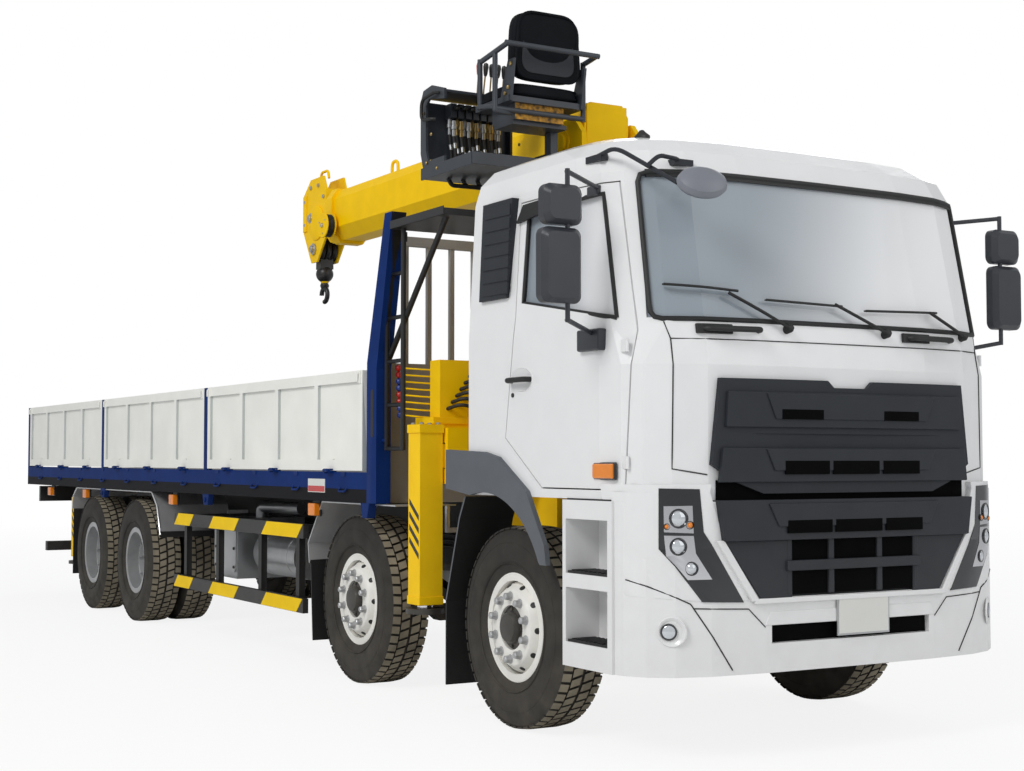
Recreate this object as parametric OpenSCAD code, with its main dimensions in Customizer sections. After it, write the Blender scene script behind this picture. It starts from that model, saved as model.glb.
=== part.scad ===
// Truck-mounted telescopic crane on a four-axle carrier with a dropside bed.
// Millimetres. +X is forward, +Y is left, +Z is up, the ground is Z = 0.
// The origin lies on the ground under the middle of the vehicle.

/* [Overall] */
// Length from bumper to tailgate hinges
overall_length = 11850; // [11400:10:12400]
// From the first axle to the front of the bumper
front_overhang = 1400; // [1300:10:1500]
// Width over the sills of the bed
bed_width = 2500; // [2440:10:2560]

/* [Axles] */
// First axle to second axle
front_spacing = 1990; // [1900:10:2100]
// First axle to third axle
drive_spacing = 6550; // [6400:10:6700]
// Third axle to fourth axle
bogie_spacing = 1367; // [1300:1:1450]
// Between the middles of the front wheels
front_track = 2040; // [2000:10:2080]
// Between the middles of the twin wheels
rear_track = 1840; // [1800:10:1880]
// Between the two tyres of a twin wheel
dual_spacing = 330; // [320:5:350]
// From the middle of a front wheel in to its kingpin
kingpin_in = 120; // [110:5:130]

/* [Wheels] */
// Outer diameter of the tyres
tyre_d = 1085; // [1040:5:1120]
// Section width of the tyres
tyre_w = 293; // [270:1:310]
// Diameter over the rim flanges
rim_d = 590; // [570:5:610]
// Width over the rim flanges
rim_w = 230; // [210:5:240]
// Circle of the wheel nuts
nut_circle = 335; // [320:5:340]
// Number of wheel nuts
nut_count = 10; // [8:1:12]

/* [Frame] */
// Top of the frame rails
rail_top = 1030; // [1010:5:1050]
// Depth of the frame rails
rail_depth = 280; // [250:5:300]
// Width of a rail flange
rail_flange = 85; // [75:5:95]
// Width over the frame rails
frame_width = 850; // [800:10:870]

/* [Cab] */
// Width of the cab
cab_width = 2440; // [2400:10:2480]
// First axle to the front of the cab
cab_front = 1370; // [1340:5:1376]
// First axle to the back of the cab
cab_back = 420; // [380:10:440]
// Underside of the cab
cab_floor = 1250; // [1246:1:1270]
// Bottom of the windscreen
belt_z = 2100; // [2060:10:2140]
// Top of the windscreen
header_z = 2860; // [2820:10:2890]
// Top of the roof
roof_z = 3115; // [3080:5:3130]
// Thickness of the cab walls
cab_wall = 45; // [35:1:50]

/* [Bumper] */
// Underside of the bumper
bumper_bottom = 420; // [390:10:460]
// Thickness of the bumper
bumper_t = 80; // [60:5:90]
// Rear edge of the step panels, ahead of the first axle
step_rear = 630; // [620:5:660]

/* [Bed] */
// From the first axle back to the bed
bed_start = 1607; // [1600:1:1640]
// Top of the bed floor
deck_z = 1350; // [1330:5:1370]
// Underside of the sills
sill_bottom = 1170; // [1168:1:1200]
// Height of the drop sides
board_h = 635; // [580:5:650]
// Thickness of the drop sides
board_t = 40; // [35:1:45]
// Depth of the panels pressed into the drop sides and the tailgate
panel_depth = 20; // [12:1:24]
// Width of the stakes between the drop sides
stake_w = 70; // [60:5:90]
// Hinge pins stand out from the drop sides by this
hinge_out = 35; // [32:1:40]

/* [Crane] */
// From the first axle back to the crane's axis
crane_back = 1060; // [1050:5:1075]
// Underside of the boom
boom_bottom = 3260; // [3240:5:3300]
// Height of the boom's base section
boom_h = 410; // [380:5:430]
// Width of the boom's base section
boom_w = 330; // [310:5:340]
// From the crane's axis to the front of the base section
boom_reach = 3630; // [3500:10:3800]
// Inset of each boom section in the next
boom_step = 17; // [16:1:19]
// Travel of each boom section
boom_travel = 3000; // [2500:50:3100]
// Luffing cylinder, bore side radius
barrel_r = 75; // [65:1:80]
// Luffing cylinder, rod radius
rod_r = 45; // [38:1:48]

/* [Outriggers] */
// Side of the square beams
beam_side = 140; // [120:5:150]
// Side of the square leg cases
case_side = 150; // [140:5:160]
// Radius of the jack rods
jack_r = 48; // [40:1:52]
// Underside of the front feet, raised
front_foot_z = 540; // [500:10:560]
// Underside of the rear feet, raised
rear_foot_z = 390; // [360:10:420]

/* [Hidden] */
$fn = 48;
seat_gap = 0.3;
a1 = overall_length / 2 - front_overhang;
a2 = a1 - front_spacing;
a3 = a1 - drive_spacing;
a4 = a3 - bogie_spacing;
tail_x = -overall_length / 2;
tyre_r = tyre_d / 2;
rim_r = rim_d / 2;
bead_r = rim_r - 33;
hw = cab_width / 2;
rail_bottom = rail_top - rail_depth;
rail_out = frame_width / 2;
rail_in = rail_out - rail_flange;
front_y = front_track / 2;
kingpin_y = front_y - kingpin_in;
rear_y = rear_track / 2;
bed_half = bed_width / 2;
bed_front_x = a1 - bed_start;
knuckle_r = 12;
pin_r = 6;
gate_out_x = tail_x + knuckle_r + hinge_out;
bed_rear_x = gate_out_x + board_t + 6;
board_z = deck_z + 22;
board_top = board_z + board_h;
stake_foot = deck_z + 12 + seat_gap;
floor_half = bed_half - board_t - 12;
hinge_y = bed_half + hinge_out;
crane_x = a1 - crane_back;
pivot_r = -120;
pivot_z = boom_bottom + 160;
lift_low = [260, 2000];
lift_high = [400, boom_bottom - 100];
lift_len = norm(lift_high - lift_low);
lift_angle = atan2(lift_high[1] - lift_low[1], lift_high[0] - lift_low[0]);
housing_bottom = 1300;
housing_top = 1630;
table_z = housing_top + 70;
right_cell_x = a1 - 970;
left_cell_x = a1 - 1150;
cell_z = (housing_bottom + housing_top) / 2;
case_y = bed_half - case_side / 2;
rear_jack_x = a1 - 8680;
spare_x = a1 - 9450;
spare_y = -400;
spare_z = 595;
rear_case_y = 1190 - case_side / 2;
bearer_pitch = (bed_front_x - bed_rear_x - 110) / 12;
stake_1_x = bed_front_x - 2990;
stake_2_x = stake_1_x - 2860;

// A box between two opposite corners.
module span(a, b) {
  translate(a) cube(b - a);
}

// The children, and the same on the other side.
module pair() {
  children();
  mirror([0, 1, 0]) children();
}

// A place on the right (-1) or left (1).
module on_side(side) {
  if (side > 0) children();
  else mirror([0, 1, 0]) children();
}

// An outline in X and Z, drawn out along Y from y0 to y1.
module side_plate(outline, y0, y1) {
  translate([0, y1, 0]) rotate([90, 0, 0]) linear_extrude(y1 - y0) polygon(outline);
}

// An outline in Y and Z, drawn out along X from x0 to x1.
module front_plate(outline, x0, x1) {
  translate([x0, 0, 0]) rotate([90, 0, 90]) linear_extrude(x1 - x0) polygon(outline);
}

// A round bar between two points.
module bar(a, b, r) {
  d = b - a;
  translate(a) rotate([0, acos(d[2] / norm(d)), atan2(d[1], d[0])]) cylinder(h = norm(d), r = r);
}

// A wheel place: local Z points outwards.
module wheel_place(x, y, side) {
  translate([x, side * y, tyre_r]) rotate([side > 0 ? -90 : 90, 0, 0]) children();
}

// Tyres and wheels

tyre_half = concat([[bead_r, rim_w / 2 - 20], [rim_r + 4, rim_w / 2 - 18]],
  [for (i = [0:6]) [rim_r + 4 + i / 6 * (tyre_r - 38 - rim_r),
    97 + (tyre_w / 2 - 97) * sin(20 + i / 6 * 125)]],
  [[tyre_r - 10, tyre_w / 2 - 36], [tyre_r, tyre_w / 2 - 62]]);

module tyre_form() {
  n = len(tyre_half);
  rotate_extrude($fn = 64) polygon(concat(tyre_half,
    [for (i = [n - 1:-1:0]) [tyre_half[i][0], -tyre_half[i][1]]]));
}

module rim_barrel() {
  translate([bead_r - 12, -rim_w / 2]) square([12 - seat_gap, rim_w]);
  for (s = [-1, 1])
    translate([bead_r - 12, s > 0 ? rim_w / 2 - 18 : -rim_w / 2]) square([rim_r - bead_r + 12, 18]);
}

module nut_ring(z0, z1) {
  for (i = [0:nut_count - 1])
    rotate([0, 0, (i + 0.5) * 360 / nut_count]) translate([nut_circle / 2, 0, z0]) cylinder(h = z1 - z0, r = 20);
}

module front_wheel_form() {
  difference() {
    rotate_extrude($fn = 64) {
      rim_barrel();
      polygon([[bead_r - 6, 6], [bead_r - 6, 24], [222, 97], [105, 97], [105, 82], [212, 82], [bead_r - 22, 6]]);
      polygon([[45.05, -45], [200, -45], [200, 60], [112, 60], [112, 118], [70, 118], [70, 132], [0, 132],
        [0, 110], [45.05, 110]]);
      polygon([[100, 55], [200, 55], [200, 86], [100, 86]]);
    }
    for (i = [0:nut_count - 1])
      rotate([0, 0, i * 360 / nut_count]) translate([232, 0, -20]) cylinder(h = 140, r = 20);
  }
  nut_ring(90, 138);
}

module rear_wheel_form() {
  difference() {
    rotate_extrude($fn = 64) {
      translate([0, dual_spacing / 2]) rim_barrel();
      translate([0, -dual_spacing / 2]) rim_barrel();
      polygon([[bead_r - 6, dual_spacing / 2 + 8], [bead_r - 6, dual_spacing / 2 - 12], [214, 1], [105, 1], [105, 15],
        [206, 15], [bead_r - 24, dual_spacing / 2 + 8]]);
      polygon([[bead_r - 6, -dual_spacing / 2 - 8], [bead_r - 6, -dual_spacing / 2 + 12], [214, 1.2], [105, 1.2],
        [105, -14], [206, -14], [bead_r - 24, -dual_spacing / 2 - 8]]);
      polygon([[50.05, -250], [200, -250], [200, -60], [112, -60], [112, 70], [80, 92], [0, 92], [0, 60], [50.05, 60]]);
      polygon([[100, -70], [200, -70], [200, -10], [100, -10]]);
    }
    for (i = [0:nut_count - 1])
      rotate([0, 0, i * 360 / nut_count]) translate([228, 0, -300]) cylinder(h = 600, r = 16);
  }
  nut_ring(8, 52);
}

module front_tyre(x, side) color([0.1, 0.1, 0.1]) wheel_place(x, front_y, side) tyre_form();

module rear_tyres(x, side) color([0.1, 0.1, 0.1]) wheel_place(x, rear_y, side) {
  translate([0, 0, dual_spacing / 2]) tyre_form();
  translate([0, 0, -dual_spacing / 2]) tyre_form();
}

module front_wheel(x, side) color([0.85, 0.85, 0.8]) wheel_place(x, front_y, side) front_wheel_form();

module rear_wheel(x, side) color([0.7, 0.7, 0.7]) wheel_place(x, rear_y, side) rear_wheel_form();

// Steering knuckle with its kingpin and spindle.
module knuckle(x, side) color([0.15, 0.15, 0.15]) on_side(side) translate([x, kingpin_y, tyre_r]) {
  translate([0, 0, -110]) cylinder(h = 220, r = 22);
  for (z = [-110, 63]) {
    translate([0, 0, z]) cylinder(h = 47, r = 46);
    span([-44, 0, z], [44, 68, z + 47]);
  }
  span([-44, 56, -110], [44, 68, 110]);
  rotate([-90, 0, 0]) translate([0, 0, 56]) cylinder(h = front_y - kingpin_y + 95 - 56, r = 45);
}

// Frame, running gear, tanks and guards

rail_outline = [[rail_in, rail_bottom], [rail_out, rail_bottom], [rail_out, rail_top], [rail_in, rail_top],
  [rail_in, rail_top - 10], [rail_out - 10, rail_top - 10], [rail_out - 10, rail_bottom + 10],
  [rail_in, rail_bottom + 10]];
guard_x = [a1 - 5460, a1 - 2720];
guard_y = 1170;
lamp_bar_x = a1 - 10250;
// Where the bowed bumper lies on the frame.
bumper_seat_x = a1 + front_overhang - bumper_t - 8 * rail_out / (0.45 * (hw + 10 - bumper_t)) - seat_gap;

module chassis_frame() color([0.12, 0.12, 0.13]) {
  pair() {
    front_plate(rail_outline, lamp_bar_x, a1 + 1150);
    span([a1 + 1140, rail_in, rail_bottom], [a1 + front_overhang - bumper_t - 30, rail_out, rail_bottom + 180]);
    span([a1 + 1150, rail_in, rail_bottom], [bumper_seat_x, rail_out, 775]);
    for (x = [a1 + 900, a1 - 380])
      span([x, rail_in, rail_top - 5], [x + 90, rail_out, cab_floor - seat_gap]);
    span([a1 - 10150, rail_in, 450], [a1 - 10070, rail_out, rail_bottom + 5]);
    for (z = [390, 900])
      span([guard_x[0], guard_y, z], [guard_x[1], guard_y + 40, z + 100]);
    for (x = [guard_x[0] + 160, guard_x[0] + 920, guard_x[1] - 920, guard_x[1] - 210])
      span([x, guard_y - 40, 390], [x + 60, guard_y + 5, 1000]);
    for (x = [guard_x[0] + 160, guard_x[1] - 210])
      span([x, rail_out + seat_gap, 930], [x + 60, guard_y, 990]);
  }
  for (x = [a1 + 1060, a1 - 1800, a1 - 3000, a1 - 4400, a1 - 5800, a1 - 7280, a1 - 9000, lamp_bar_x])
    span([x, -rail_out + 5, rail_top - 170], [x + 100, rail_out - 5, rail_top - 20]);
  span([lamp_bar_x, -1150, 985], [lamp_bar_x + 60, 1150, 1150]);
  span([a1 - 10150, -1100, 450], [a1 - 10070, 1100, 550]);
  translate([spare_x, spare_y, spare_z + 68]) cylinder(h = 14 - seat_gap, r = 150);
  translate([spare_x, spare_y, spare_z + 70]) cylinder(h = rail_top - 160 - spare_z - 70, r = 40);
  span([spare_x - 50, -rail_out + 5, rail_top - 170], [spare_x + 50, rail_out - 5, rail_top - 20]);
}

beam_low = tyre_r - 165;
drop_y = kingpin_y - 200;

module front_axle(x) {
  difference() {
    union() {
      front_plate([[-kingpin_y + 20, tyre_r - 50], [-drop_y, tyre_r - 50], [140 - drop_y, beam_low],
        [drop_y - 140, beam_low], [drop_y, tyre_r - 50], [kingpin_y - 20, tyre_r - 50],
        [kingpin_y - 20, tyre_r + 50], [drop_y - 10, tyre_r + 50], [drop_y - 150, beam_low + 105],
        [150 - drop_y, beam_low + 105], [10 - drop_y, tyre_r + 50], [-kingpin_y + 20, tyre_r + 50]],
        x - 45, x + 45);
      pair() translate([x, kingpin_y, tyre_r - 60]) cylinder(h = 120, r = 50);
    }
    pair() translate([x, kingpin_y, tyre_r - 80]) cylinder(h = 160, r = 22.05);
  }
  pair() {
    span([x - 100, rail_in, beam_low + 95], [x + 100, rail_out - 4, beam_low + 170]);
    side_plate([[x - 760, rail_bottom - 60], [x - 100, beam_low + 100], [x + 100, beam_low + 100],
      [x + 760, rail_bottom - 60], [x + 760, rail_bottom - 10], [x + 100, beam_low + 180], [x - 100, beam_low + 180],
      [x - 760, rail_bottom - 10]], rail_in, rail_out - 4);
    for (dx = [-760, 680])
      span([x + dx, rail_in, rail_bottom - 70], [x + dx + 80, rail_out - 4, rail_bottom - seat_gap]);
  }
}

module rear_axle(x) {
  translate([x, 0, tyre_r]) {
    rotate([90, 0, 0]) rotate_extrude()
      polygon([[0, -rear_y - 55], [50, -rear_y - 55], [50, -660], [75, -660], [75, -330], [190, -150], [190, 150],
        [75, 330], [75, 660], [50, 660], [50, rear_y + 55], [0, rear_y + 55]]);
    rotate([0, 90, 0]) cylinder(h = 380, r = 95);
  }
}

module running_gear() color([0.2, 0.2, 0.2]) {
  front_axle(a1);
  front_axle(a2);
  rear_axle(a3);
  rear_axle(a4);
  pair() {
    span([a4 - 60, rail_in, tyre_r + 65], [a3 + 60, rail_out - 4, tyre_r + 150]);
    span([(a3 + a4) / 2 - 150, rail_in, tyre_r + 145], [(a3 + a4) / 2 + 150, rail_out - 4, rail_bottom - seat_gap]);
  }
  bar([a3 + 370, 0, tyre_r], [a1 - 1620, 0, tyre_r + 190], 50);
  bar([a4 + 370, 0, tyre_r], [a3, 0, tyre_r], 45);
  span([a1 - 700, -320, 560], [a1 + 800, 320, cab_floor - 15]);
  span([a1 - 1640, -220, 600], [a1 - 690, 220, rail_top - 40]);
}

module tanks() color([0.75, 0.76, 0.78]) {
  span([a1 - 4900, -1050, 510], [a1 - 4400, -rail_out - 60, 980]);
  span([a1 - 4750, -rail_out - 70, 760], [a1 - 4550, -rail_out - seat_gap, 960]);
  translate([a1 - 4270, -800, 720]) rotate([0, 90, 0]) cylinder(h = 810, r = 170);
  span([a1 - 4000, -800, 700], [a1 - 3750, -rail_out - seat_gap, 860]);
  span([a1 - 4600, rail_out + 60, 440], [a1 - 3200, 1100, 990]);
  span([a1 - 4300, rail_out + seat_gap, 760], [a1 - 3500, rail_out + 70, 980]);
}

function arc(cx, cz, r, t0, t1, n) = [for (i = [0:n]) [cx + r * cos(t0 + (t1 - t0) * i / n),
  cz + r * sin(t0 + (t1 - t0) * i / n)]];

guard_top = sill_bottom - 6;

module mudguards() color([0.6, 0.6, 0.62]) pair() {
  side_plate([[a3 + 800, 800], [a3 + 700, 1050], [a3 + 560, guard_top], [a4 - 480, guard_top], [a4 - 600, 1080],
    [a4 - 630, 950], [a4 - 622, 950], [a4 - 592, 1075], [a4 - 477, guard_top - 8], [a3 + 557, guard_top - 8],
    [a3 + 692, 1046], [a3 + 792, 800]], 600, 1240);
  span([a3 + 700, rail_out + seat_gap, 960], [a3 + 740, 610, 1000]);
  span([a4 - 612, rail_out + seat_gap, 985], [a4 - 594, 610, 1025]);
  side_plate([[a2 + 670, guard_top], [a2 - 440, guard_top], [a2 - 676, 876], [a2 - 652, 740], [a2 - 644, 740],
    [a2 - 667, 873], [a2 - 436, guard_top - 8], [a2 + 670, guard_top - 8]], 780, 1200);
  side_plate([[a2 - 610, 220], [a2 - 600, 220], [a2 - 640, 760], [a2 - 652, 760]], 800, 1190);
  span([a2 - 652, rail_out + seat_gap, 770], [a2 - 640, 800, 810]);
  span([a2 + 560, rail_out + seat_gap, 985], [a2 + 590, 800, 1015]);
  span([a2 + 560, 780, 985], [a2 + 590, 800, guard_top - 4]);
  side_plate([[a1 - 668, 160], [a1 - 656, 160], [a1 - 656, 640], [a1 - 500, 1110], [a1 - 430, 1236], [a1 - 446, 1238],
    [a1 - 512, 1116], [a1 - 668, 645]], 850, 1200);
  span([a1 - 612, rail_out + seat_gap, 805], [a1 - 600, 870, 835]);
}

module spare_wheel() color([0.13, 0.13, 0.13]) translate([spare_x, spare_y, spare_z]) {
  tyre_form();
  difference() {
    rotate_extrude($fn = 64) {
      rim_barrel();
      polygon([[bead_r - 6, 6], [bead_r - 6, 24], [222, 97], [110, 97], [110, 82], [212, 82], [bead_r - 22, 6]]);
    }
    for (i = [0:nut_count - 1])
      rotate([0, 0, i * 360 / nut_count]) translate([nut_circle / 2, 0, 60]) cylinder(h = 60, r = 16);
  }
}

// Cab

cab_curve = [[0, 0], [0.45, 8], [0.70, 35], [0.84, 90], [0.93, 170], [0.98, 270], [1, 420]];

function cab_plan(xf, xr, w, bow) = concat(
  [for (i = [6:-1:1]) [a1 + xf - bow * cab_curve[i][1], -w * cab_curve[i][0]]],
  [for (i = [0:6]) [a1 + xf - bow * cab_curve[i][1], w * cab_curve[i][0]]],
  [[a1 + xr + 60, w], [a1 + xr, w - 60], [a1 + xr, -w + 60], [a1 + xr + 60, -w]]);

// Height, front, back, half width and bow of the cab, inset by t.
function cab_rows(t) = [
  [cab_floor + t, cab_front - t, -cab_back + t, hw - t, 1],
  [belt_z - 200, cab_front - t, -cab_back + t, hw - t, 1],
  [belt_z, cab_front - 15 - t, -cab_back + t, hw - t, 1.25],
  [header_z, cab_front - 170 - t, -cab_back + 20 + t, hw - 30 - t, 1.15],
  [header_z + 110 - t / 2, cab_front - 230 - t, -cab_back + 40 + t, hw - 55 - t, 1.15],
  [roof_z - 65 - t * 0.8, cab_front - 340 - t, -cab_back + 80 + t, hw - 120 - t, 1.4],
  [roof_z - 15 - t, cab_front - 520 - t, -cab_back + 180 + t, hw - 240 - t, 1.2],
  [roof_z - t, cab_front - 870 - t, -cab_back + 320 + t, hw - 420 - t, 0.9]];

// A solid through plan outlines at rising heights.
module loft(rows) {
  rings = [for (r = rows) [for (p = cab_plan(r[1], r[2], r[3], r[4])) [p[0], p[1], r[0]]]];
  n = len(rings[0]);
  m = len(rings);
  polyhedron([for (g = rings) for (p = g) p],
    concat([[for (i = [0:n - 1]) i]],
      [for (k = [0:m - 2]) for (i = [0:n - 1]) [k * n + i, (k + 1) * n + i, (k + 1) * n + (i + 1) % n]],
      [for (k = [0:m - 2]) for (i = [0:n - 1]) [k * n + i, (k + 1) * n + (i + 1) % n, k * n + (i + 1) % n]],
      [[for (i = [n - 1:-1:0]) (m - 1) * n + i]]));
}

// Outlines with the way each corner moves as the gap grows.
function grown(pts, g) = [for (p = pts) [p[0] + g * p[2], p[1] + g * p[3]]];

door_pts = [[a1 + 1115, 1302, 1, -1], [a1 + 1150, 2060, 1, 0], [a1 + 985, header_z - 55, 1, 1],
  [a1 + 170, header_z - 55, -1, 1], [a1 + 150, 2200, -1, 0], [a1 + 50, 1560, -1, -0.5], [a1 + 420, 1302, -0.5, -1]];
door_window = [[a1 + 1045, belt_z + 30], [a1 + 915, header_z - 105], [a1 + 230, header_z - 110], [a1 + 200, 2270]];
screen_pts = [[-1095, belt_z + 25, -1, -1], [1095, belt_z + 25, 1, -1], [1055, header_z - 12, 1, 1],
  [-1055, header_z - 12, -1, 1]];
back_pts = [[-600, 2280, -1, -1], [600, 2280, 1, -1], [600, 2720, 1, 1], [-600, 2720, -1, 1]];
lamp_pts = [[640, 775, -1, -1], [1165, 985, 1, -1], [1188, 1280, 1, 1], [930, 1276, -1, 1]];

module cab_shell() color([0.93, 0.93, 0.92]) difference() {
  loft(cab_rows(0));
  loft(cab_rows(cab_wall));
  front_plate(grown(screen_pts, 0), a1 + 700, a1 + 1500);
  front_plate(grown(back_pts, 0), a1 - cab_back - 50, a1 - 250);
  pair() side_plate(grown(door_pts, 7), hw - 300, hw + 60);
  pair() front_plate(grown(lamp_pts, 4), a1 + 1050, a1 + 1500);
}

module cab_glass() color([0.5, 0.58, 0.62]) {
  intersection() {
    difference() {
      loft(cab_rows(8));
      loft(cab_rows(16));
    }
    front_plate(grown(screen_pts, -1), a1 + 700, a1 + 1500);
  }
  front_plate(grown(back_pts, -seat_gap), a1 - cab_back + 12, a1 - cab_back + 20);
}

seat_x = a1 + 20;
inner_floor = cab_floor + cab_wall + seat_gap;

module cab_interior() color([0.25, 0.25, 0.27]) {
  front_plate([[-1000, inner_floor], [1000, inner_floor], [1000, 1980], [700, 2040], [-700, 2040], [-1000, 1980]],
    a1 + 820, a1 + 1130);
  for (y = [-600, 600]) {
    span([seat_x + 60, y - 200, inner_floor], [seat_x + 420, y + 200, 1600]);
    span([seat_x, y - 250, 1590], [seat_x + 500, y + 250, 1740]);
    side_plate([[seat_x, 1600], [seat_x + 110, 1600], [seat_x + 30, 2420], [seat_x - 80, 2420]], y - 240, y + 240);
  }
  span([a1 - 300, -330, inner_floor], [a1 + 700, 330, 1560]);
  bar([a1 + 840, -600, 1850], [a1 + 640, -600, 2060], 30);
  translate([a1 + 640, -600, 2060]) rotate([0, -40, 0]) {
    rotate_extrude() translate([215, 0]) circle(r = 16);
    span([-215, -20, -10], [215, 20, 10]);
    cylinder(h = 30, r = 60, center = true);
  }
}

upper_grille = [[-560, cab_floor + 30], [560, cab_floor + 30], [700, 1330], [850, 1420], [800, 1835], [150, 1835],
  [110, 1800], [-110, 1800], [-150, 1835], [-800, 1835], [-850, 1420], [-700, 1330]];
lower_grille = [[-575, 780, -1, -1], [575, 780, 1, -1], [700, 1236, 1, 1], [-700, 1236, -1, 1]];

// A band that follows the plan of the cab, from one inset to another.
module front_band(xf, w, t0, t1, z0, z1) {
  translate([0, 0, z0]) linear_extrude(z1 - z0) difference() {
    polygon(cab_plan(xf - t0, -200, w - t0, 1));
    polygon(cab_plan(xf - t1, -300, w - t1, 1));
  }
}

module cab_trim() color([0.25, 0.26, 0.28]) {
  difference() {
    intersection() {
      front_band(cab_front, hw, -26, -seat_gap, cab_floor, 1900);
      front_plate(upper_grille, a1 + 900, a1 + 1500);
    }
    for (z = [1500, 1290 + 330])
      front_plate([[-760, z], [760, z], [770, z + 70], [-770, z + 70]], a1 + cab_front + 12, a1 + cab_front + 60);
  }
  difference() {
    intersection() {
      front_band(front_overhang, hw + 10, 12, bumper_t - 10, 700, 1300);
      front_plate(grown(lower_grille, -1), a1 + 900, a1 + 1500);
    }
    front_plate([[-600, 930], [600, 930], [620, 1010], [-620, 1010]], a1 + 1360, a1 + 1500);
  }
  pair() {
    difference() {
      side_plate([[a1 - 580, 1280], [a1 + 100, 1200], [a1 + 440, 905], [a1 + 500, 905], [a1 + 480, 1008],
        [a1 + 300, 1280], [a1, 1457], [a1 - 150, 1485], [a1 - 580, 1500]], hw + seat_gap, hw + 28);
      translate([a1 - 150, hw + 100, 615]) rotate([90, 0, 0]) cylinder(h = 200, r = 650);
    }
    difference() {
      side_plate([[a1 - 220, 2310], [a1 + 70, 2310], [a1 + 140, belt_z + 740], [a1 - 175, belt_z + 740]],
        hw - 60, hw + 14);
      loft(cab_rows(-seat_gap));
    }
  }
}

module bumper_panels() color([0.93, 0.93, 0.92]) {
  difference() {
    intersection() {
      front_band(front_overhang, hw + 10, 0, bumper_t, bumper_bottom, cab_floor - 6);
      translate([a1 + 1070, -2000, 0]) cube([1000, 4000, 2000]);
    }
    front_plate(grown(lower_grille, 0), a1 + 900, a1 + 1500);
    pair() front_plate(grown(lamp_pts, 0), a1 + 900, a1 + 1500);
    front_plate([[-520, 560], [520, 560], [520, 700], [-520, 700]], a1 + front_overhang - 35, a1 + 1500);
  }
  pair() difference() {
    span([a1 + step_rear, hw - 220, bumper_bottom], [a1 + 1070 - seat_gap, hw + 10, cab_floor - 6]);
    for (z = [540, 880])
      span([a1 + step_rear + 30, hw - 190, z], [a1 + 1030, hw + 40, z + 270]);
  }
}

module lamps() color([0.85, 0.87, 0.9]) {
  pair() {
    intersection() {
      front_band(front_overhang, hw + 10, 8, bumper_t - 10, 700, 1320);
      front_plate(grown(lamp_pts, -1), a1 + 1075, a1 + 1500);
    }
    span([lamp_bar_x - 30, 850, 1010], [lamp_bar_x - seat_gap, 1130, 1130]);
  }
}

// Where the mirrors stand, on arms from the door.
mirror_x = a1 + 1045;
mirror_arm_y = 1462;
mirror_arm_r = 12;
// The upright axis of a door's hinges.
hinge_x = a1 + 1140;
hinge_side = 1186;

module door(side) color([0.93, 0.93, 0.92]) on_side(side) {
  difference() {
    intersection() {
      difference() {
        loft(cab_rows(0));
        loft(cab_rows(cab_wall));
      }
      side_plate(grown(door_pts, 0), hw - 300, hw + 60);
    }
    side_plate(door_window, hw - 300, hw + 60);
  }
  for (z = [1400, 1960]) {
    translate([hinge_x, hinge_side, z]) cylinder(h = 60, r = 9);
    span([hinge_x - 45, hinge_side - 6, z], [hinge_x, hinge_side + 6, z + 60]);
  }
  bar([mirror_x, mirror_arm_y, 2095], [mirror_x, mirror_arm_y, header_z - 30], mirror_arm_r);
  bar([mirror_x, mirror_arm_y + 4, 2107], [mirror_x - 160, hw - 45, 2045], mirror_arm_r);
  bar([mirror_x, mirror_arm_y + 4, header_z - 42], [mirror_x - 200, hw - 100, header_z - 80], mirror_arm_r);
  mirror_head(1390, 1615, 2183, 2545);
  mirror_head(1386, 1602, 2558, 2752);
}

// A mirror's head between two sides and two heights, its front drawn in all round.
module mirror_head(y0, y1, z0, z1) {
  hull() {
    rounded_plate(mirror_x - 38, 46, y0, y1, z0, z1, 42);
    rounded_plate(mirror_x + 20, 16, y0 + 24, y1 - 24, z0 + 24, z1 - 24, 34);
  }
}

// An upright plate with round corners, from x on for its thickness.
module rounded_plate(x, thick, y0, y1, z0, z1, r) {
  translate([x, y0 + r, z0 + r]) rotate([90, 0, 90]) linear_extrude(thick)
    offset(r = r) square([y1 - y0 - 2 * r, z1 - z0 - 2 * r]);
}

// Bed

module bed_deck() color([0.12, 0.14, 0.35]) {
  span([bed_rear_x, -floor_half, deck_z - 40], [bed_front_x - 20, floor_half, deck_z]);
  pair() {
    span([bed_rear_x, floor_half - 5, sill_bottom], [bed_front_x - 20, bed_half, deck_z + 12]);
    span([lamp_bar_x + 61, rail_in, rail_top + seat_gap], [bed_front_x - 60, rail_out, sill_bottom + 5]);
    for (x = [stake_1_x, stake_2_x])
      span([x - stake_w / 2, bed_half - board_t - 6, stake_foot], [x + stake_w / 2, bed_half, board_top]);
    span([bed_rear_x, bed_half - 70, stake_foot], [bed_rear_x + 70, bed_half, board_top]);
    for (b = board_ends) for (x = hinge_places(b[0], b[1])) sill_hinge(x);
  }
  for (y = gate_hinge_y) gate_pin(y);
  for (i = [0:11])
    span([bed_rear_x + 60 + i * bearer_pitch, -floor_half, sill_bottom],
      [bed_rear_x + 140 + i * bearer_pitch, floor_half, deck_z - 35]);
  span([bed_rear_x, -floor_half, sill_bottom], [bed_rear_x + 30, floor_half, deck_z]);
}

// One drop side between its two ends, the rear end first.
module board(ends, side) color([0.92, 0.92, 0.88]) on_side(side) {
  x0 = ends[0];
  x1 = ends[1];
  difference() {
    span([x0, bed_half - board_t, board_z], [x1, bed_half, board_top]);
    for (i = [0:3])
      span([x0 + 60 + i * (x1 - x0 - 60) / 4, bed_half - panel_depth, board_z + 70],
        [x0 + i * (x1 - x0 - 60) / 4 + (x1 - x0 - 60) / 4, bed_half + 10, board_top - 70]);
  }
  for (x = hinge_places(x0, x1))
    board_hinge(x);
}

// Hinges along a drop side.
function hinge_places(x0, x1) = [for (i = [0:2]) x0 + (x1 - x0) * (i + 0.5) / 3];

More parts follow.
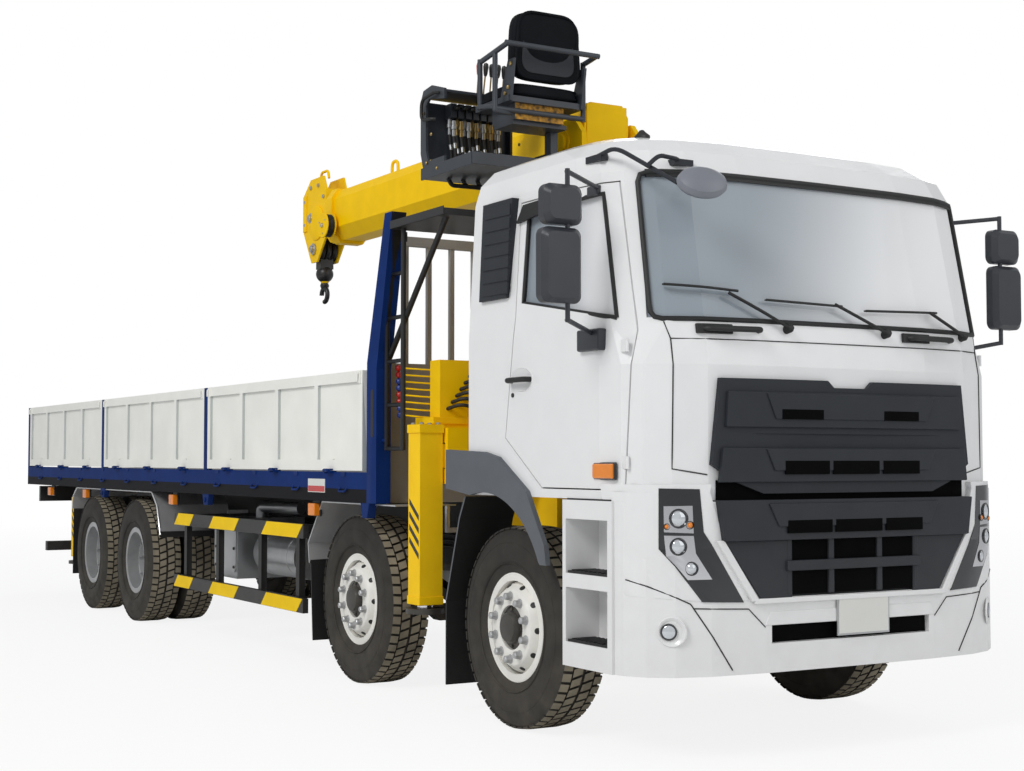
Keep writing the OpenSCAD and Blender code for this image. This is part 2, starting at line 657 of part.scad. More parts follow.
// The leaf of a hinge, with the bore that turns on the pin.
module board_hinge(x) {
  difference() {
    union() {
      span([x - 30, bed_half - 12, board_z], [x + 30, bed_half, board_z + 75]);
      span([x - 30, bed_half - 5, board_z], [x + 30, hinge_y, board_z + 11]);
      translate([x - 30, hinge_y, board_z]) rotate([0, 90, 0]) cylinder(h = 60, r = knuckle_r);
    }
    translate([x - 50, hinge_y, board_z]) rotate([0, 90, 0]) cylinder(h = 100, r = pin_r + 0.05);
  }
}

// The pin of a hinge, with the two ears that carry it from the sill.
module sill_hinge(x) {
  translate([x - 42, hinge_y, board_z]) rotate([0, 90, 0]) cylinder(h = 84, r = pin_r);
  for (dx = [-42, 32]) {
    span([x + dx, bed_half - 20, board_z - 20], [x + dx + 10, hinge_y, board_z - 2]);
    translate([x + dx, hinge_y, board_z]) rotate([0, 90, 0]) cylinder(h = 10, r = 10);
  }
}

front_board_x = bed_front_x - 85;
gap_x = 7;
board_ends = [[stake_1_x + stake_w / 2 + gap_x, front_board_x],
  [stake_2_x + stake_w / 2 + gap_x, stake_1_x - stake_w / 2 - gap_x],
  [bed_rear_x + 70 + gap_x, stake_2_x - stake_w / 2 - gap_x]];
gate_hinge_y = [-850, 0, 850];
gate_pin_x = gate_out_x - hinge_out;

// The pin of a tailgate hinge, with its ears.
module gate_pin(y) {
  translate([gate_pin_x, y - 42, board_z]) rotate([-90, 0, 0]) cylinder(h = 84, r = pin_r);
  for (dy = [-42, 32]) {
    span([gate_pin_x, y + dy, board_z - 22], [bed_rear_x + 10, y + dy + 10, board_z - 2]);
    translate([gate_pin_x, y + dy, board_z]) rotate([-90, 0, 0]) cylinder(h = 10, r = 10);
  }
}

module tailgate() color([0.92, 0.92, 0.88]) {
  difference() {
    span([gate_out_x, -bed_half + 77, board_z], [gate_out_x + board_t, bed_half - 77, board_top]);
    for (i = [0:2])
      span([gate_out_x - 10, -1110 + i * 760, board_z + 70], [gate_out_x + panel_depth, -410 + i * 760, board_top - 70]);
  }
  for (y = gate_hinge_y) difference() {
    union() {
      span([gate_pin_x, y - 30, board_z], [gate_out_x + 5, y + 30, board_z + 11]);
      translate([gate_pin_x, y - 30, board_z]) rotate([-90, 0, 0]) cylinder(h = 60, r = knuckle_r);
    }
    translate([gate_pin_x, y - 50, board_z]) rotate([-90, 0, 0]) cylinder(h = 100, r = pin_r + 0.05);
  }
}

head_x = bed_front_x - 20 + seat_gap;
head_back_x = bed_front_x - 20 + seat_gap;
platform_z = boom_bottom - 410;
platform_x = bed_front_x + 312 + seat_gap;
first_rung_z = 1510;
rung_pitch = (platform_z - first_rung_z) / 5;

// The posts with the ladder and the strut, the plate, the stakes and the platform each stand alone.
module headboard() color([0.3, 0.32, 0.4]) {
  pair() {
    side_plate([[head_back_x, sill_bottom], [bed_front_x + 117, sill_bottom], [bed_front_x + 117, 2000],
      [bed_front_x + 327, platform_z + 110], [bed_front_x + 227, platform_z + 110], [head_back_x, 2050]],
      bed_half - 100, bed_half);
    span([bed_front_x + 27 + seat_gap, bed_half - 140, platform_z - 60], [bed_front_x + 260, bed_half - 95, platform_z]);
  }
  span([head_back_x, -bed_half + 100 + seat_gap, sill_bottom],
    [bed_front_x + 27, bed_half - 100 - seat_gap, 2050]);
  span([head_back_x, -bed_half + 105, platform_z - 50], [bed_front_x + 27, bed_half - 105, platform_z + 10]);
  for (i = [0:12])
    span([bed_front_x - 8, -1010 + i * 165, 2050 + seat_gap], [bed_front_x + 22, -980 + i * 165, platform_z - 40]);
  pair()
    span([head_back_x, bed_half - 145, 2050 + seat_gap], [bed_front_x + 27, bed_half - 105, platform_z + 10]);
  span([platform_x, -bed_half, platform_z], [a1 - 600, -560, platform_z + 40]);
  difference() {
    union() {
      for (x = [a1 - 1440, a1 - 1220])
        bar([x, -1200, 1500], [x, -1200, platform_z + 10], 16);
      for (i = [0:4])
        bar([a1 - 1440, -1200, first_rung_z + i * rung_pitch], [a1 - 1220, -1200, first_rung_z + i * rung_pitch], 13);
      bar([a1 - 1490, -1200, 1560], [a1 - 1440, -1200, 1560], 13);
      bar([a1 - 700, -1180, platform_z + 10], [a1 - 1510, -1180, 2010], 18);
    }
    span([platform_x - seat_gap, -bed_half - 1, platform_z - seat_gap], [a1 - 590, -550, platform_z + 60]);
  }
}

// Crane

module crane_place() {
  translate([crane_x, 0, 0]) mirror([1, 0, 0]) children();
}

module crane_base() color([0.95, 0.7, 0.1]) {
  span([a1 - 1400, -rail_out, rail_top + seat_gap], [a1 - 700, rail_out, housing_bottom + 5]);
  difference() {
    span([a1 - 1260, -1085, housing_bottom], [a1 - 860, 1085, housing_top]);
    for (x = [right_cell_x, left_cell_x])
      span([x - beam_side / 2 - 8, -1200, cell_z - beam_side / 2 - 8], [x + beam_side / 2 + 8, 1200, cell_z + beam_side / 2 + 8]);
  }
  for (x = [right_cell_x, left_cell_x]) pair()
    span([x - 50, 960, cell_z - beam_side / 2 - 9], [x + 50, 1080, cell_z - beam_side / 2 - seat_gap]);
  translate([crane_x, 0, housing_top - 5]) cylinder(h = table_z - housing_top + 5, r = 340);
  span([a1 - 1250, -1000, housing_top - 5], [a1 - 1120, -760, 2050]);
  span([rear_jack_x - 70, -rear_case_y + case_side / 2 - 5, 600],
    [rear_jack_x + 70, rear_case_y - case_side / 2 + 5, rail_bottom - seat_gap]);
  pair() difference() {
    span([rear_jack_x - case_side / 2, rear_case_y - case_side / 2, 460],
      [rear_jack_x + case_side / 2, rear_case_y + case_side / 2, 1060]);
    translate([rear_jack_x, rear_case_y, 400]) cylinder(h = 640, r = jack_r + seat_gap);
  }
}

module outrigger(x, side) color([0.95, 0.7, 0.1]) on_side(side) {
  span([x - beam_side / 2, -1000, cell_z - beam_side / 2], [x + beam_side / 2, case_y, cell_z + beam_side / 2]);
  difference() {
    span([x - case_side / 2, case_y - case_side / 2, front_foot_z + 50], [x + case_side / 2, case_y + case_side / 2, 1640]);
    translate([x, case_y, front_foot_z]) cylinder(h = 1040, r = jack_r + seat_gap);
  }
}

module outrigger_solid(x, side) color([0.95, 0.7, 0.1]) difference() {
  outrigger(x, side);
  on_side(side) translate([x, case_y, front_foot_z]) cylinder(h = 1040, r = jack_r + seat_gap);
}

module jack(x, y, z, top) color([0.75, 0.76, 0.78]) {
  translate([x, y, z]) cylinder(h = 30, r = 115);
  translate([x, y, z + 25]) cylinder(h = top - z - 25, r = jack_r);
}

module crane_column() color([0.95, 0.7, 0.1]) crane_place() {
  translate([0, 0, table_z + seat_gap]) cylinder(h = 60, r = 340);
  span([-360, -200, table_z + 30], [-60, 200, boom_bottom - 130]);
  span([-70, -150, table_z + 30], [150, 150, table_z + 120]);
  pair() {
    side_plate([[-70, table_z + 60], [150, table_z + 60], [lift_low[0] + 70, lift_low[1] - 40],
      [lift_low[0] + 70, lift_low[1] + 60], [lift_low[0] - 60, lift_low[1] + 70], [-70, lift_low[1] + 250]], 92, 118);
    side_plate([[-360, boom_bottom - 400], [-60, boom_bottom - 400], [60, boom_bottom - 40], [60, pivot_z + 60],
      [-60, pivot_z + 140], [-250, pivot_z + 140], [-340, pivot_z + 40]], 194, 230);
  }
  translate([lift_low[0], 118, lift_low[1]]) rotate([90, 0, 0]) cylinder(h = 236, r = 30);
  translate([pivot_r, 240, pivot_z]) rotate([90, 0, 0]) cylinder(h = 480, r = 40);
}

// The boom's section, each one lying i steps inside the base section.
function boom_outline(t) = [
  [-boom_w / 2 + 45 + t * 0.6, boom_bottom + boom_h - t], [boom_w / 2 - 45 - t * 0.6, boom_bottom + boom_h - t],
  [boom_w / 2 - t, boom_bottom + boom_h - 75 - t * 0.6], [boom_w / 2 - t, boom_bottom + 100 + t * 0.4],
  [boom_w / 2 - 75 - t * 0.4, boom_bottom + t], [-boom_w / 2 + 75 + t * 0.4, boom_bottom + t],
  [-boom_w / 2 + t, boom_bottom + 100 + t * 0.4], [-boom_w / 2 + t, boom_bottom + boom_h - 75 - t * 0.6]];

module boom_tube(i, r0, r1) {
  difference() {
    front_plate(boom_outline(i * boom_step), r0, r1);
    front_plate(boom_outline(i * boom_step + 9), r0 + 12, r1 + 10);
  }
}

// Runners at the mouth of a section, which carry the next section.
module boom_pads(i, mouth) {
  span([mouth - 100, -50, boom_bottom + i * boom_step + 8],
    [mouth - 20, 50, boom_bottom + (i + 1) * boom_step - seat_gap]);
  span([mouth - 100, -50, boom_bottom + boom_h - (i + 1) * boom_step + seat_gap],
    [mouth - 20, 50, boom_bottom + boom_h - i * boom_step - 8]);
}

module boom_collar(i, r0, r1) {
  difference() {
    front_plate(boom_outline(i * boom_step - 22), r0, r1);
    front_plate(boom_outline(i * boom_step + 9), r0 - 10, r1 + 10);
  }
}

module boom_1() color([0.95, 0.7, 0.1]) crane_place() difference() {
  union() {
    boom_tube(0, -270, boom_reach);
    boom_collar(0, boom_reach - 110, boom_reach);
    boom_pads(0, boom_reach);
    translate([pivot_r, 188, pivot_z]) rotate([90, 0, 0]) cylinder(h = 376, r = 75);
    pair() side_plate([[lift_high[0] - 170, boom_bottom + 3], [lift_high[0] + 170, boom_bottom + 3],
      [lift_high[0] + 60, lift_high[1] - 50], [lift_high[0] - 60, lift_high[1] - 50]], 52, 74);
  }
  translate([pivot_r, 300, pivot_z]) rotate([90, 0, 0]) cylinder(h = 600, r = 40.1);
}

module boom_2() color([0.95, 0.7, 0.1]) crane_place() {
  boom_tube(1, 20, boom_reach + 70);
  boom_collar(1, boom_reach + 12, boom_reach + 70);
  boom_pads(1, boom_reach + 70);
}

module boom_3() color([0.95, 0.7, 0.1]) crane_place() {
  boom_tube(2, 60, boom_reach + 140);
  boom_collar(2, boom_reach + 82, boom_reach + 140);
  boom_pads(2, boom_reach + 140);
}

head_r = boom_reach + 200;
hook_pin = [head_r + 250, boom_bottom - 70];

module boom_4() color([0.95, 0.7, 0.1]) crane_place() {
  difference() {
    front_plate(boom_outline(3 * boom_step), 100, head_r + 20);
    front_plate(boom_outline(3 * boom_step + 12), 112, head_r + 10);
  }
  pair() side_plate([[head_r, boom_bottom + 80], [hook_pin[0] - 60, hook_pin[1] - 55], [hook_pin[0] + 60, hook_pin[1] - 55],
    [head_r + 480, boom_bottom + 150], [head_r + 480, boom_bottom + 480], [head_r + 330, boom_bottom + 600],
    [head_r + 60, boom_bottom + 600], [head_r, boom_bottom + 480]], 84, 100);
  span([head_r, -90, boom_bottom + 80], [head_r + 16, 90, boom_bottom + 480]);
  translate([head_r + 300, 90, boom_bottom + 260]) rotate([90, 0, 0]) cylinder(h = 180, r = 170);
  translate([hook_pin[0], 90, hook_pin[1]]) rotate([90, 0, 0]) cylinder(h = 180, r = 25);
}

module hook() color([0.15, 0.15, 0.15]) crane_place() {
  difference() {
    union() {
      side_plate([[hook_pin[0] - 50, hook_pin[1] - 110], [hook_pin[0] + 50, hook_pin[1] - 110],
        [hook_pin[0] + 45, hook_pin[1] + 45], [hook_pin[0] - 45, hook_pin[1] + 45]], -60, 60);
      translate([hook_pin[0], 0, hook_pin[1] - 150]) sphere(r = 75);
      translate([hook_pin[0], 0, hook_pin[1] - 330]) rotate([90, 0, 0]) rotate_extrude(angle = 270) translate([60, 0]) circle(r = 20);
      translate([hook_pin[0], 0, hook_pin[1] - 290]) cylinder(h = 100, r = 22);
    }
    translate([hook_pin[0], 100, hook_pin[1]]) rotate([90, 0, 0]) cylinder(h = 200, r = 25.1);
  }
}

// A place on the lift cylinder: local X runs from the lower pin to the upper pin.
module lift_place() {
  crane_place() translate([lift_low[0], 0, lift_low[1]]) rotate([0, -lift_angle, 0]) children();
}

module lift_barrel() color([0.95, 0.7, 0.1]) lift_place() difference() {
  union() {
    rotate([90, 0, 0]) cylinder(h = 170, r = 60, center = true);
    translate([30, 0, 0]) rotate([0, 90, 0]) cylinder(h = lift_len - 150, r = barrel_r);
  }
  rotate([90, 0, 0]) cylinder(h = 300, r = 30.1, center = true);
  translate([100, 0, 0]) rotate([0, 90, 0]) cylinder(h = lift_len, r = rod_r + 0.1);
}

module lift_rod() color([0.8, 0.8, 0.82]) lift_place() {
  translate([130, 0, 0]) rotate([0, 90, 0]) cylinder(h = lift_len - 160, r = rod_r);
  translate([lift_len, 0, 0]) rotate([90, 0, 0]) cylinder(h = 80, r = 42, center = true);
}

// The control box is open to the front between two hollow cheeks; the rails stand about the seat.
module operator_station() color([0.12, 0.12, 0.13]) crane_place() {
  span([-280, -960, boom_bottom - 55], [380, -230 - seat_gap, boom_bottom - 20]);
  span([-280, -420, boom_bottom - 30], [-80, -230 - seat_gap, boom_bottom + 60]);
  for (y = [-962, -346])
    difference() {
      side_plate([[84, boom_bottom - 40], [290, boom_bottom - 40], [370, boom_bottom + 20], [401, boom_bottom + 110],
        [401, boom_bottom + 440], [365, boom_bottom + 505], [250, boom_bottom + 520], [84, boom_bottom + 470]],
        y, y + 16);
      side_plate([[60, boom_bottom + 50], [300, boom_bottom + 50], [330, boom_bottom + 120],
        [330, boom_bottom + 400], [290, boom_bottom + 440], [60, boom_bottom + 400]], y - 5, y + 21);
    }
  span([381, -950, boom_bottom + 80], [397, -340, boom_bottom + 440]);
  span([110, -950, boom_bottom + 455], [370, -340, boom_bottom + 471]);
  span([-300, -430, boom_bottom + 40], [-230, -380, boom_bottom + 190]);
  span([-400, -760, boom_bottom + 180], [-180, -380, boom_bottom + 206]);
  span([-430, -760, boom_bottom + 204], [-160, -420, boom_bottom + 302]);
  span([-460, -822, boom_bottom + 300], [-60, -298, boom_bottom + 336]);
  for (y = [-816 - seat_gap, -320 + seat_gap])
    side_plate([[-340, boom_bottom + 302], [-470, boom_bottom + 302], [-510, boom_bottom + 545],
      [-440, boom_bottom + 545]], y, y + 16);
  hand_rail();
}

// Bent tube rail beside the seat and round behind its back.
module hand_rail() {
  rail_r = 16;
  low_z = boom_bottom + 250;
  top_z = boom_bottom + 560;
  back_z = boom_bottom + 605;
  near_y = -900;
  far_y = -282;
  bar([-435, near_y, low_z], [-435, far_y, low_z], rail_r);
  bar([-255, near_y, low_z + 40], [-435, near_y, low_z + 10], rail_r);
  bar([-255, near_y, low_z + 24], [-255, near_y, top_z + rail_r], rail_r);
  bar([-255, near_y, top_z], [-585, near_y, back_z], rail_r);
  bar([-585, near_y - rail_r, back_z], [-585, far_y + rail_r, back_z], rail_r);
  bar([-585, far_y, back_z], [-435, far_y, back_z - 20], rail_r);
  bar([-435, far_y, low_z - rail_r], [-435, far_y, back_z - 8], rail_r);
  bar([-435, near_y, low_z - rail_r], [-435, near_y, back_z - 20], rail_r);
}

module seat() color([0.08, 0.08, 0.08]) crane_place() {
  span([-470, -800, boom_bottom + 336 + seat_gap], [-60, -330, boom_bottom + 412]);
  seat_back();
}

// Back of the seat, with its rounded outline.
module seat_back() {
  rounded_plate(-470, 60, -800, -320, boom_bottom + 440, boom_bottom + 855, 90);
}

// What is drawn

chassis_frame();
running_gear();
tanks();
mudguards();
spare_wheel();
bumper_panels();
lamps();
bed_deck();
headboard();
crane_base();
cab_shell();
cab_glass();
cab_interior();
cab_trim();
door(-1);  // door_right
door(1);  // door_left
knuckle(a1, -1);  // knuckle_1_right
knuckle(a1, 1);  // knuckle_1_left
knuckle(a2, -1);  // knuckle_2_right
knuckle(a2, 1);  // knuckle_2_left
front_wheel(a1, -1);  // wheel_1_right
front_wheel(a1, 1);  // wheel_1_left
front_wheel(a2, -1);  // wheel_2_right
front_wheel(a2, 1);  // wheel_2_left
rear_wheel(a3, -1);  // wheel_3_right
rear_wheel(a3, 1);  // wheel_3_left
rear_wheel(a4, -1);  // wheel_4_right
rear_wheel(a4, 1);  // wheel_4_left
front_tyre(a1, -1);  // tyre_1_right
front_tyre(a1, 1);  // tyre_1_left
front_tyre(a2, -1);  // tyre_2_right
front_tyre(a2, 1);  // tyre_2_left
rear_tyres(a3, -1);  // tyre_3_right
rear_tyres(a3, 1);  // tyre_3_left
rear_tyres(a4, -1);  // tyre_4_right
rear_tyres(a4, 1);  // tyre_4_left
board(board_ends[0], -1);  // board_1_right
board(board_ends[1], -1);  // board_2_right
board(board_ends[2], -1);  // board_3_right
board(board_ends[0], 1);  // board_1_left
board(board_ends[1], 1);  // board_2_left
board(board_ends[2], 1);  // board_3_left
tailgate();
crane_column();
boom_1();
boom_2();
boom_3();
boom_4();
hook();
lift_barrel();
lift_rod();
operator_station();
seat();
outrigger_solid(right_cell_x, -1);  // outrigger_right
outrigger_solid(left_cell_x, 1);  // outrigger_left
jack(right_cell_x, -case_y, front_foot_z, 1560);  // jack_right
jack(left_cell_x, case_y, front_foot_z, 1560);  // jack_left
jack(rear_jack_x, -rear_case_y, rear_foot_z, 1030);  // rear_jack_right
jack(rear_jack_x, rear_case_y, rear_foot_z, 1030);  // rear_jack_left
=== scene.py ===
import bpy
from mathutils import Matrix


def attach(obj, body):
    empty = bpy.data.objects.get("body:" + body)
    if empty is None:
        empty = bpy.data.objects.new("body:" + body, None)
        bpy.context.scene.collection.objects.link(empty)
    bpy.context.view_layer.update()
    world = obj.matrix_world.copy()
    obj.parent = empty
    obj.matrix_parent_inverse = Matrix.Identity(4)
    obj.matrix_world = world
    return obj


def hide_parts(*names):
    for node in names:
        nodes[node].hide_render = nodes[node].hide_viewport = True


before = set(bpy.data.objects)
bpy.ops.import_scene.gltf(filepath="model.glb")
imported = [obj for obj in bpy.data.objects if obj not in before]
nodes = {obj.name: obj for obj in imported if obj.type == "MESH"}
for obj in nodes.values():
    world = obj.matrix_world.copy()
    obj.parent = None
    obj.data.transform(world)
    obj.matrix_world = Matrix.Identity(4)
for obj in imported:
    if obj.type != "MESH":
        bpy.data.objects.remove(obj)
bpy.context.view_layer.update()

import math
import bpy
import bmesh
from mathutils import Vector, Matrix

SC = bpy.context.scene
SIDES = ((-1, "right"), (1, "left"))
A1, A2, A3, A4 = 4.525, 2.535, -2.025, -3.392   # axle places
TR = 0.5425                                     # tyre radius
FRONT_Y, REAR_Y = 1.02, 0.92                    # hub planes of the single and the twin wheels
TWINS = (0.755, 1.085)                          # middles of the twin tyres
NUTS, NUT_COUNT = 0.1675, 10                    # circle of a wheel's nuts
BLOCKS = 54                                     # tread blocks in a row
CX = 3.465                                      # slewing axis
BB = 3.26                                       # underside of the boom
BUMPER = A1 + 1.4                               # foremost line of the bumper
TAIL = A1 - 10.25                               # lamp bar at the rear end
SPARE = (A1 - 9.45, -0.4)                       # middle of the spare wheel
BLACK, BRIGHT, DUST = (0, 0, 0, 1), (1, 1, 1, 1), (0.33, 0.29, 0.23, 1)


# Shader nodes and materials

def node(tree, kind, *ins, **sets):
    """A shader node; each (socket, value) pair links an output or sets a constant."""
    made = tree.nodes.new("ShaderNode" + kind)
    for key, value in sets.items():
        setattr(made, key, value)
    for socket, value in ins:
        if isinstance(value, bpy.types.NodeSocket):
            tree.links.new(value, made.inputs[socket])
        else:
            made.inputs[socket].default_value = value
    return made


def calc(tree, operation, a, b):
    """A sum or comparison of two values."""
    return node(tree, "Math", (0, a), (1, b), operation=operation).outputs["Value"]


def blend(tree, share, a, b):
    """Mixes colour b over colour a."""
    return node(tree, "Mix", ("Factor", share), ("A", a), ("B", b), data_type="RGBA").outputs["Result"]


def span(tree, value, lo, hi, a=0.0, b=1.0):
    """Maps a value from lo..hi to a..b."""
    return node(tree, "MapRange", ("Value", value), ("From Min", lo), ("From Max", hi),
                ("To Min", a), ("To Max", b)).outputs["Result"]


def ramp(tree, value, *ends, interpolation="LINEAR"):
    """A colour ramp between two (position, colour) ends."""
    made = node(tree, "ValToRGB", ("Fac", value))
    made.color_ramp.interpolation = interpolation
    for element, (position, color) in zip(made.color_ramp.elements, ends):
        element.position = position
        element.color = color
    return made.outputs["Color"]


def height(tree):
    """The height above the ground in the rest pose."""
    return node(tree, "SeparateXYZ", ("Vector", node(tree, "TexCoord").outputs["Object"])).outputs["Z"]


def mat(name, color, rough=0.5, metal=0.0, spread=0.06, scale=6.0, bump=0.0, bump_scale=200.0,
        coat=0.0, grime=0.0, edge=0.0, alpha=1.0, spec=0.5):
    """A procedural finish: cloudy colour change, fine bump, dust near the ground and wear on edges."""
    m = bpy.data.materials.new(name)
    m.use_nodes = True
    t = m.node_tree
    shader = t.nodes["Principled BSDF"].inputs
    for socket, value in (("Roughness", rough), ("Metallic", metal), ("Specular IOR Level", spec),
                          ("Coat Weight", coat), ("Coat Roughness", 0.08), ("Alpha", alpha)):
        shader[socket].default_value = value
    place = node(t, "TexCoord").outputs["Object"]

    def noise(size, detail):
        return node(t, "TexNoise", ("Vector", place), ("Scale", size), ("Detail", detail)).outputs["Fac"]

    def tint(factor, plus=0.0):
        return (*[min(1.0, c * factor + plus) for c in color], 1)

    out = ramp(t, noise(scale, 6.0), (0.35, tint(1 - spread)), (0.7, tint(1 + spread)))
    if grime > 0:
        dust = calc(t, "MULTIPLY", span(t, height(t), 0.15, 1.5, grime, 0.0), noise(9.0, 8.0))
        out = blend(t, dust, out, DUST)
    if edge > 0:
        worn = ramp(t, node(t, "NewGeometry").outputs["Pointiness"], (0.52, BLACK), (0.6, BRIGHT))
        out = blend(t, calc(t, "MULTIPLY", worn, edge), out, tint(0.6, 0.22))
    t.links.new(out, shader["Base Color"])
    if bump > 0:
        grain = node(t, "Bump", ("Strength", bump), ("Distance", 0.002), ("Height", noise(bump_scale, 3.0)))
        t.links.new(grain.outputs["Normal"], shader["Normal"])
    return m


def paint_sky_reflection(m, along, lo, hi, dark, pale):
    """Paints a reflection of the sky on a glass: a fade from dark to pale along a direction."""
    t = m.node_tree
    place = node(t, "NewGeometry").outputs["Position"]
    way = node(t, "VectorMath", (0, place), (1, along), operation="DOT_PRODUCT").outputs["Value"]
    sky = ramp(t, span(t, way, lo, hi), (0, (*dark, 1)), (1, (*pale, 1)), interpolation="EASE")
    t.links.new(sky, t.nodes["Principled BSDF"].inputs["Base Color"])


def below(m, level, color):
    """Paints shade on a finish: another colour under a height of the rest pose."""
    t = m.node_tree
    base = t.nodes["Principled BSDF"].inputs["Base Color"]
    over = calc(t, "GREATER_THAN", height(t), level)
    t.links.new(blend(t, over, (*color, 1), base.links[0].from_socket), base)


WHITE = mat("cab_white_paint", (0.8, 0.8, 0.8), 0.28, coat=0.5, spread=0.015, grime=0.25, bump=0.02,
            bump_scale=90)
CREAM = mat("board_cream_paint", (0.88, 0.875, 0.82), 0.42, spread=0.04, scale=3, bump=0.05, bump_scale=60,
            grime=0.1)
# grey painted shade for the walls of the boards' panel recesses
PANEL_PAINTED_SHADE = mat("board_panel_edge", (0.5, 0.53, 0.52), 0.45, spread=0.04, scale=3)
NAVY = mat("bed_navy_paint", (0.005, 0.026, 0.14), 0.55, spread=0.1, bump=0.04, edge=0.04, spec=0.06)
SILL_PAINTED_SHADE = mat("sill_navy_paint_painted_shade_below", (0.005, 0.026, 0.14), 0.55, spread=0.1, bump=0.04, spec=0.06)
GREY = mat("headboard_grey_paint", (0.3, 0.285, 0.265), 0.5, spread=0.07, bump=0.05)
YELLOW = mat("crane_yellow_paint", (0.98, 0.6, 0.001), 0.45, spread=0.04, bump=0.03, edge=0.04, spec=0.08)
YELLOW2 = mat("guard_yellow_band", (0.95, 0.62, 0.003), 0.45, spread=0.05, spec=0.08)
SUSP = mat("suspension_worn_yellow", (0.4, 0.19, 0.01), 0.6, spread=0.85, scale=28, bump=0.3, bump_scale=90)
BLACKP = mat("chassis_black_paint", (0.008, 0.008, 0.009), 0.42, spread=0.25, bump=0.06, bump_scale=120,
             grime=0.1, edge=0.08, spec=0.3)
DECK = mat("worn_deck_steel", (0.105, 0.105, 0.108), 0.55, metal=0.3, spread=0.35, scale=2.5, bump=0.15,
           bump_scale=40)
STRIPE = mat("stripe_black", (0.012, 0.012, 0.012), 0.4, spread=0.1)
IRON = mat("running_gear_black", (0.02, 0.02, 0.02), 0.6, metal=0.3, spread=0.3, bump=0.25, bump_scale=60,
           grime=0.5)
TANK = mat("tank_silver", (0.5, 0.51, 0.52), 0.32, metal=0.85, spread=0.08, bump=0.04, grime=0.2)
STEEL = mat("stainless_sheet", (0.66, 0.66, 0.67), 0.28, metal=0.6, spread=0.08, bump=0.08, grime=0.1)
PLASTIC = mat("trim_dark_plastic", (0.021, 0.024, 0.03), 0.5, spread=0.08, bump=0.25, bump_scale=900,
              grime=0.1, spec=0.3)
ARCH = mat("arch_grey_plastic", (0.105, 0.115, 0.13), 0.55, spread=0.06, bump=0.2, bump_scale=900, grime=0.15,
           spec=0.3)
MIRROR_SHELL = mat("small_mirror_shell", (0.19, 0.2, 0.23), 0.38, spread=0.06, bump=0.1, bump_scale=1100)
SHADE = mat("mirror_shell_plastic", (0.03, 0.033, 0.04), 0.34, spread=0.06, bump=0.2, bump_scale=1100)
# near-black painted shade for the insides of openings
VOID_PAINTED_SHADE = mat("opening_painted_shade", (0.003, 0.003, 0.003), 0.9, spread=0.2, spec=0.05)
GASKET = mat("window_rubber", (0.01, 0.01, 0.01), 0.55, spread=0.1, bump=0.1, bump_scale=300)
GLASS = mat("screen_glass", (0.3, 0.33, 0.34), 0.06, spread=0.02, alpha=0.88)
DOORGLASS = mat("door_glass", (0.3, 0.33, 0.34), 0.06, spread=0.02, alpha=0.88)
CABIN = mat("interior_plastic", (0.055, 0.055, 0.058), 0.6, spread=0.1, bump=0.2, bump_scale=500)
RUBBER = mat("tyre_rubber", (0.018, 0.017, 0.016), 0.72, spread=0.2, bump=0.25, bump_scale=160, grime=0.25,
             spec=0.25)
TREAD = mat("tread_dusty_rubber", (0.27, 0.235, 0.175), 0.85, spread=0.25, bump=0.3, bump_scale=120,
            spec=0.15)
WHEELC = mat("wheel_cream_paint", (0.86, 0.845, 0.79), 0.42, spread=0.06, bump=0.05, grime=0.2)
WHEELS = mat("wheel_silver_paint", (0.48, 0.49, 0.5), 0.34, metal=0.5, spread=0.1, bump=0.06, grime=0.3)
HUB = mat("hub_black", (0.014, 0.014, 0.014), 0.4, spread=0.2, bump=0.1, grime=0.3)
CHROME = mat("polished_rod", (0.72, 0.72, 0.74), 0.12, metal=1.0, spread=0.03)
STATION = mat("station_slate_paint", (0.034, 0.04, 0.05), 0.42, spread=0.12, bump=0.08)
LENS = mat("lamp_clear", (0.62, 0.65, 0.68), 0.06, spread=0.04, coat=1.0, metal=0.35)
BEZEL = mat("lamp_bezel", (0.014, 0.015, 0.017), 0.22, spread=0.1, coat=0.6)
AMBER = mat("lamp_amber", (0.85, 0.24, 0.01), 0.18, spread=0.08, coat=0.6)
RED = mat("lamp_red", (0.55, 0.012, 0.01), 0.2, spread=0.08, coat=0.6)
KRED = mat("knob_red", (0.55, 0.015, 0.012), 0.35, spread=0.05)
KBLUE = mat("knob_blue", (0.02, 0.05, 0.3), 0.35, spread=0.05)
MIRROR = mat("mirror_face", (0.8, 0.82, 0.84), 0.03, metal=1.0, spread=0.01)
PLATE = mat("blank_plate", (0.7, 0.7, 0.66), 0.4, spread=0.02)
VINYL = mat("seat_vinyl", (0.007, 0.008, 0.01), 0.52, spread=0.2, bump=0.3, bump_scale=420, spec=0.06)
SHELL = mat("seat_shell_panel", (0.01, 0.012, 0.017), 0.55, spread=0.1, bump=0.3, bump_scale=700)
FABRIC = mat("cab_seat_cloth", (0.05, 0.052, 0.058), 0.9, spread=0.2, bump=0.6, bump_scale=700)
BRASS = mat("fitting_brass", (0.42, 0.3, 0.12), 0.35, metal=0.9, spread=0.1)
HOSE = mat("hose_rubber", (0.012, 0.012, 0.012), 0.5, spread=0.2, bump=0.2, bump_scale=400)

# painted reflection of the sky on the windscreen and on the door glass
paint_sky_reflection(GLASS, (0.508, 0.861, -0.25), 1.75, 2.98, (0.32, 0.365, 0.405), (0.95, 0.95, 0.955))
paint_sky_reflection(DOORGLASS, (1, 0, 0), 4.9, 5.45, (0.28, 0.32, 0.36), (0.88, 0.88, 0.89))
# painted shade: the sill turns near-black below 1.255 m, under its edge
below(SILL_PAINTED_SHADE, 1.255, (0.01, 0.01, 0.012))


# Finishes of the solids

def finish(name, *mats, rule=None):
    """Gives a solid its materials; a rule picks each face's number from its middle and normal."""
    me = nodes[name].data
    me.materials.clear()
    for m in mats:
        me.materials.append(m)
    if rule:
        for p in me.polygons:
            p.material_index = int(rule(p.center, p.normal))


def smooth(o, angle=35):
    """Smooth shading, with sharp edges over an angle."""
    for p in o.data.polygons:
        p.use_smooth = True
    o.data.set_sharp_from_angle(angle=math.radians(angle))


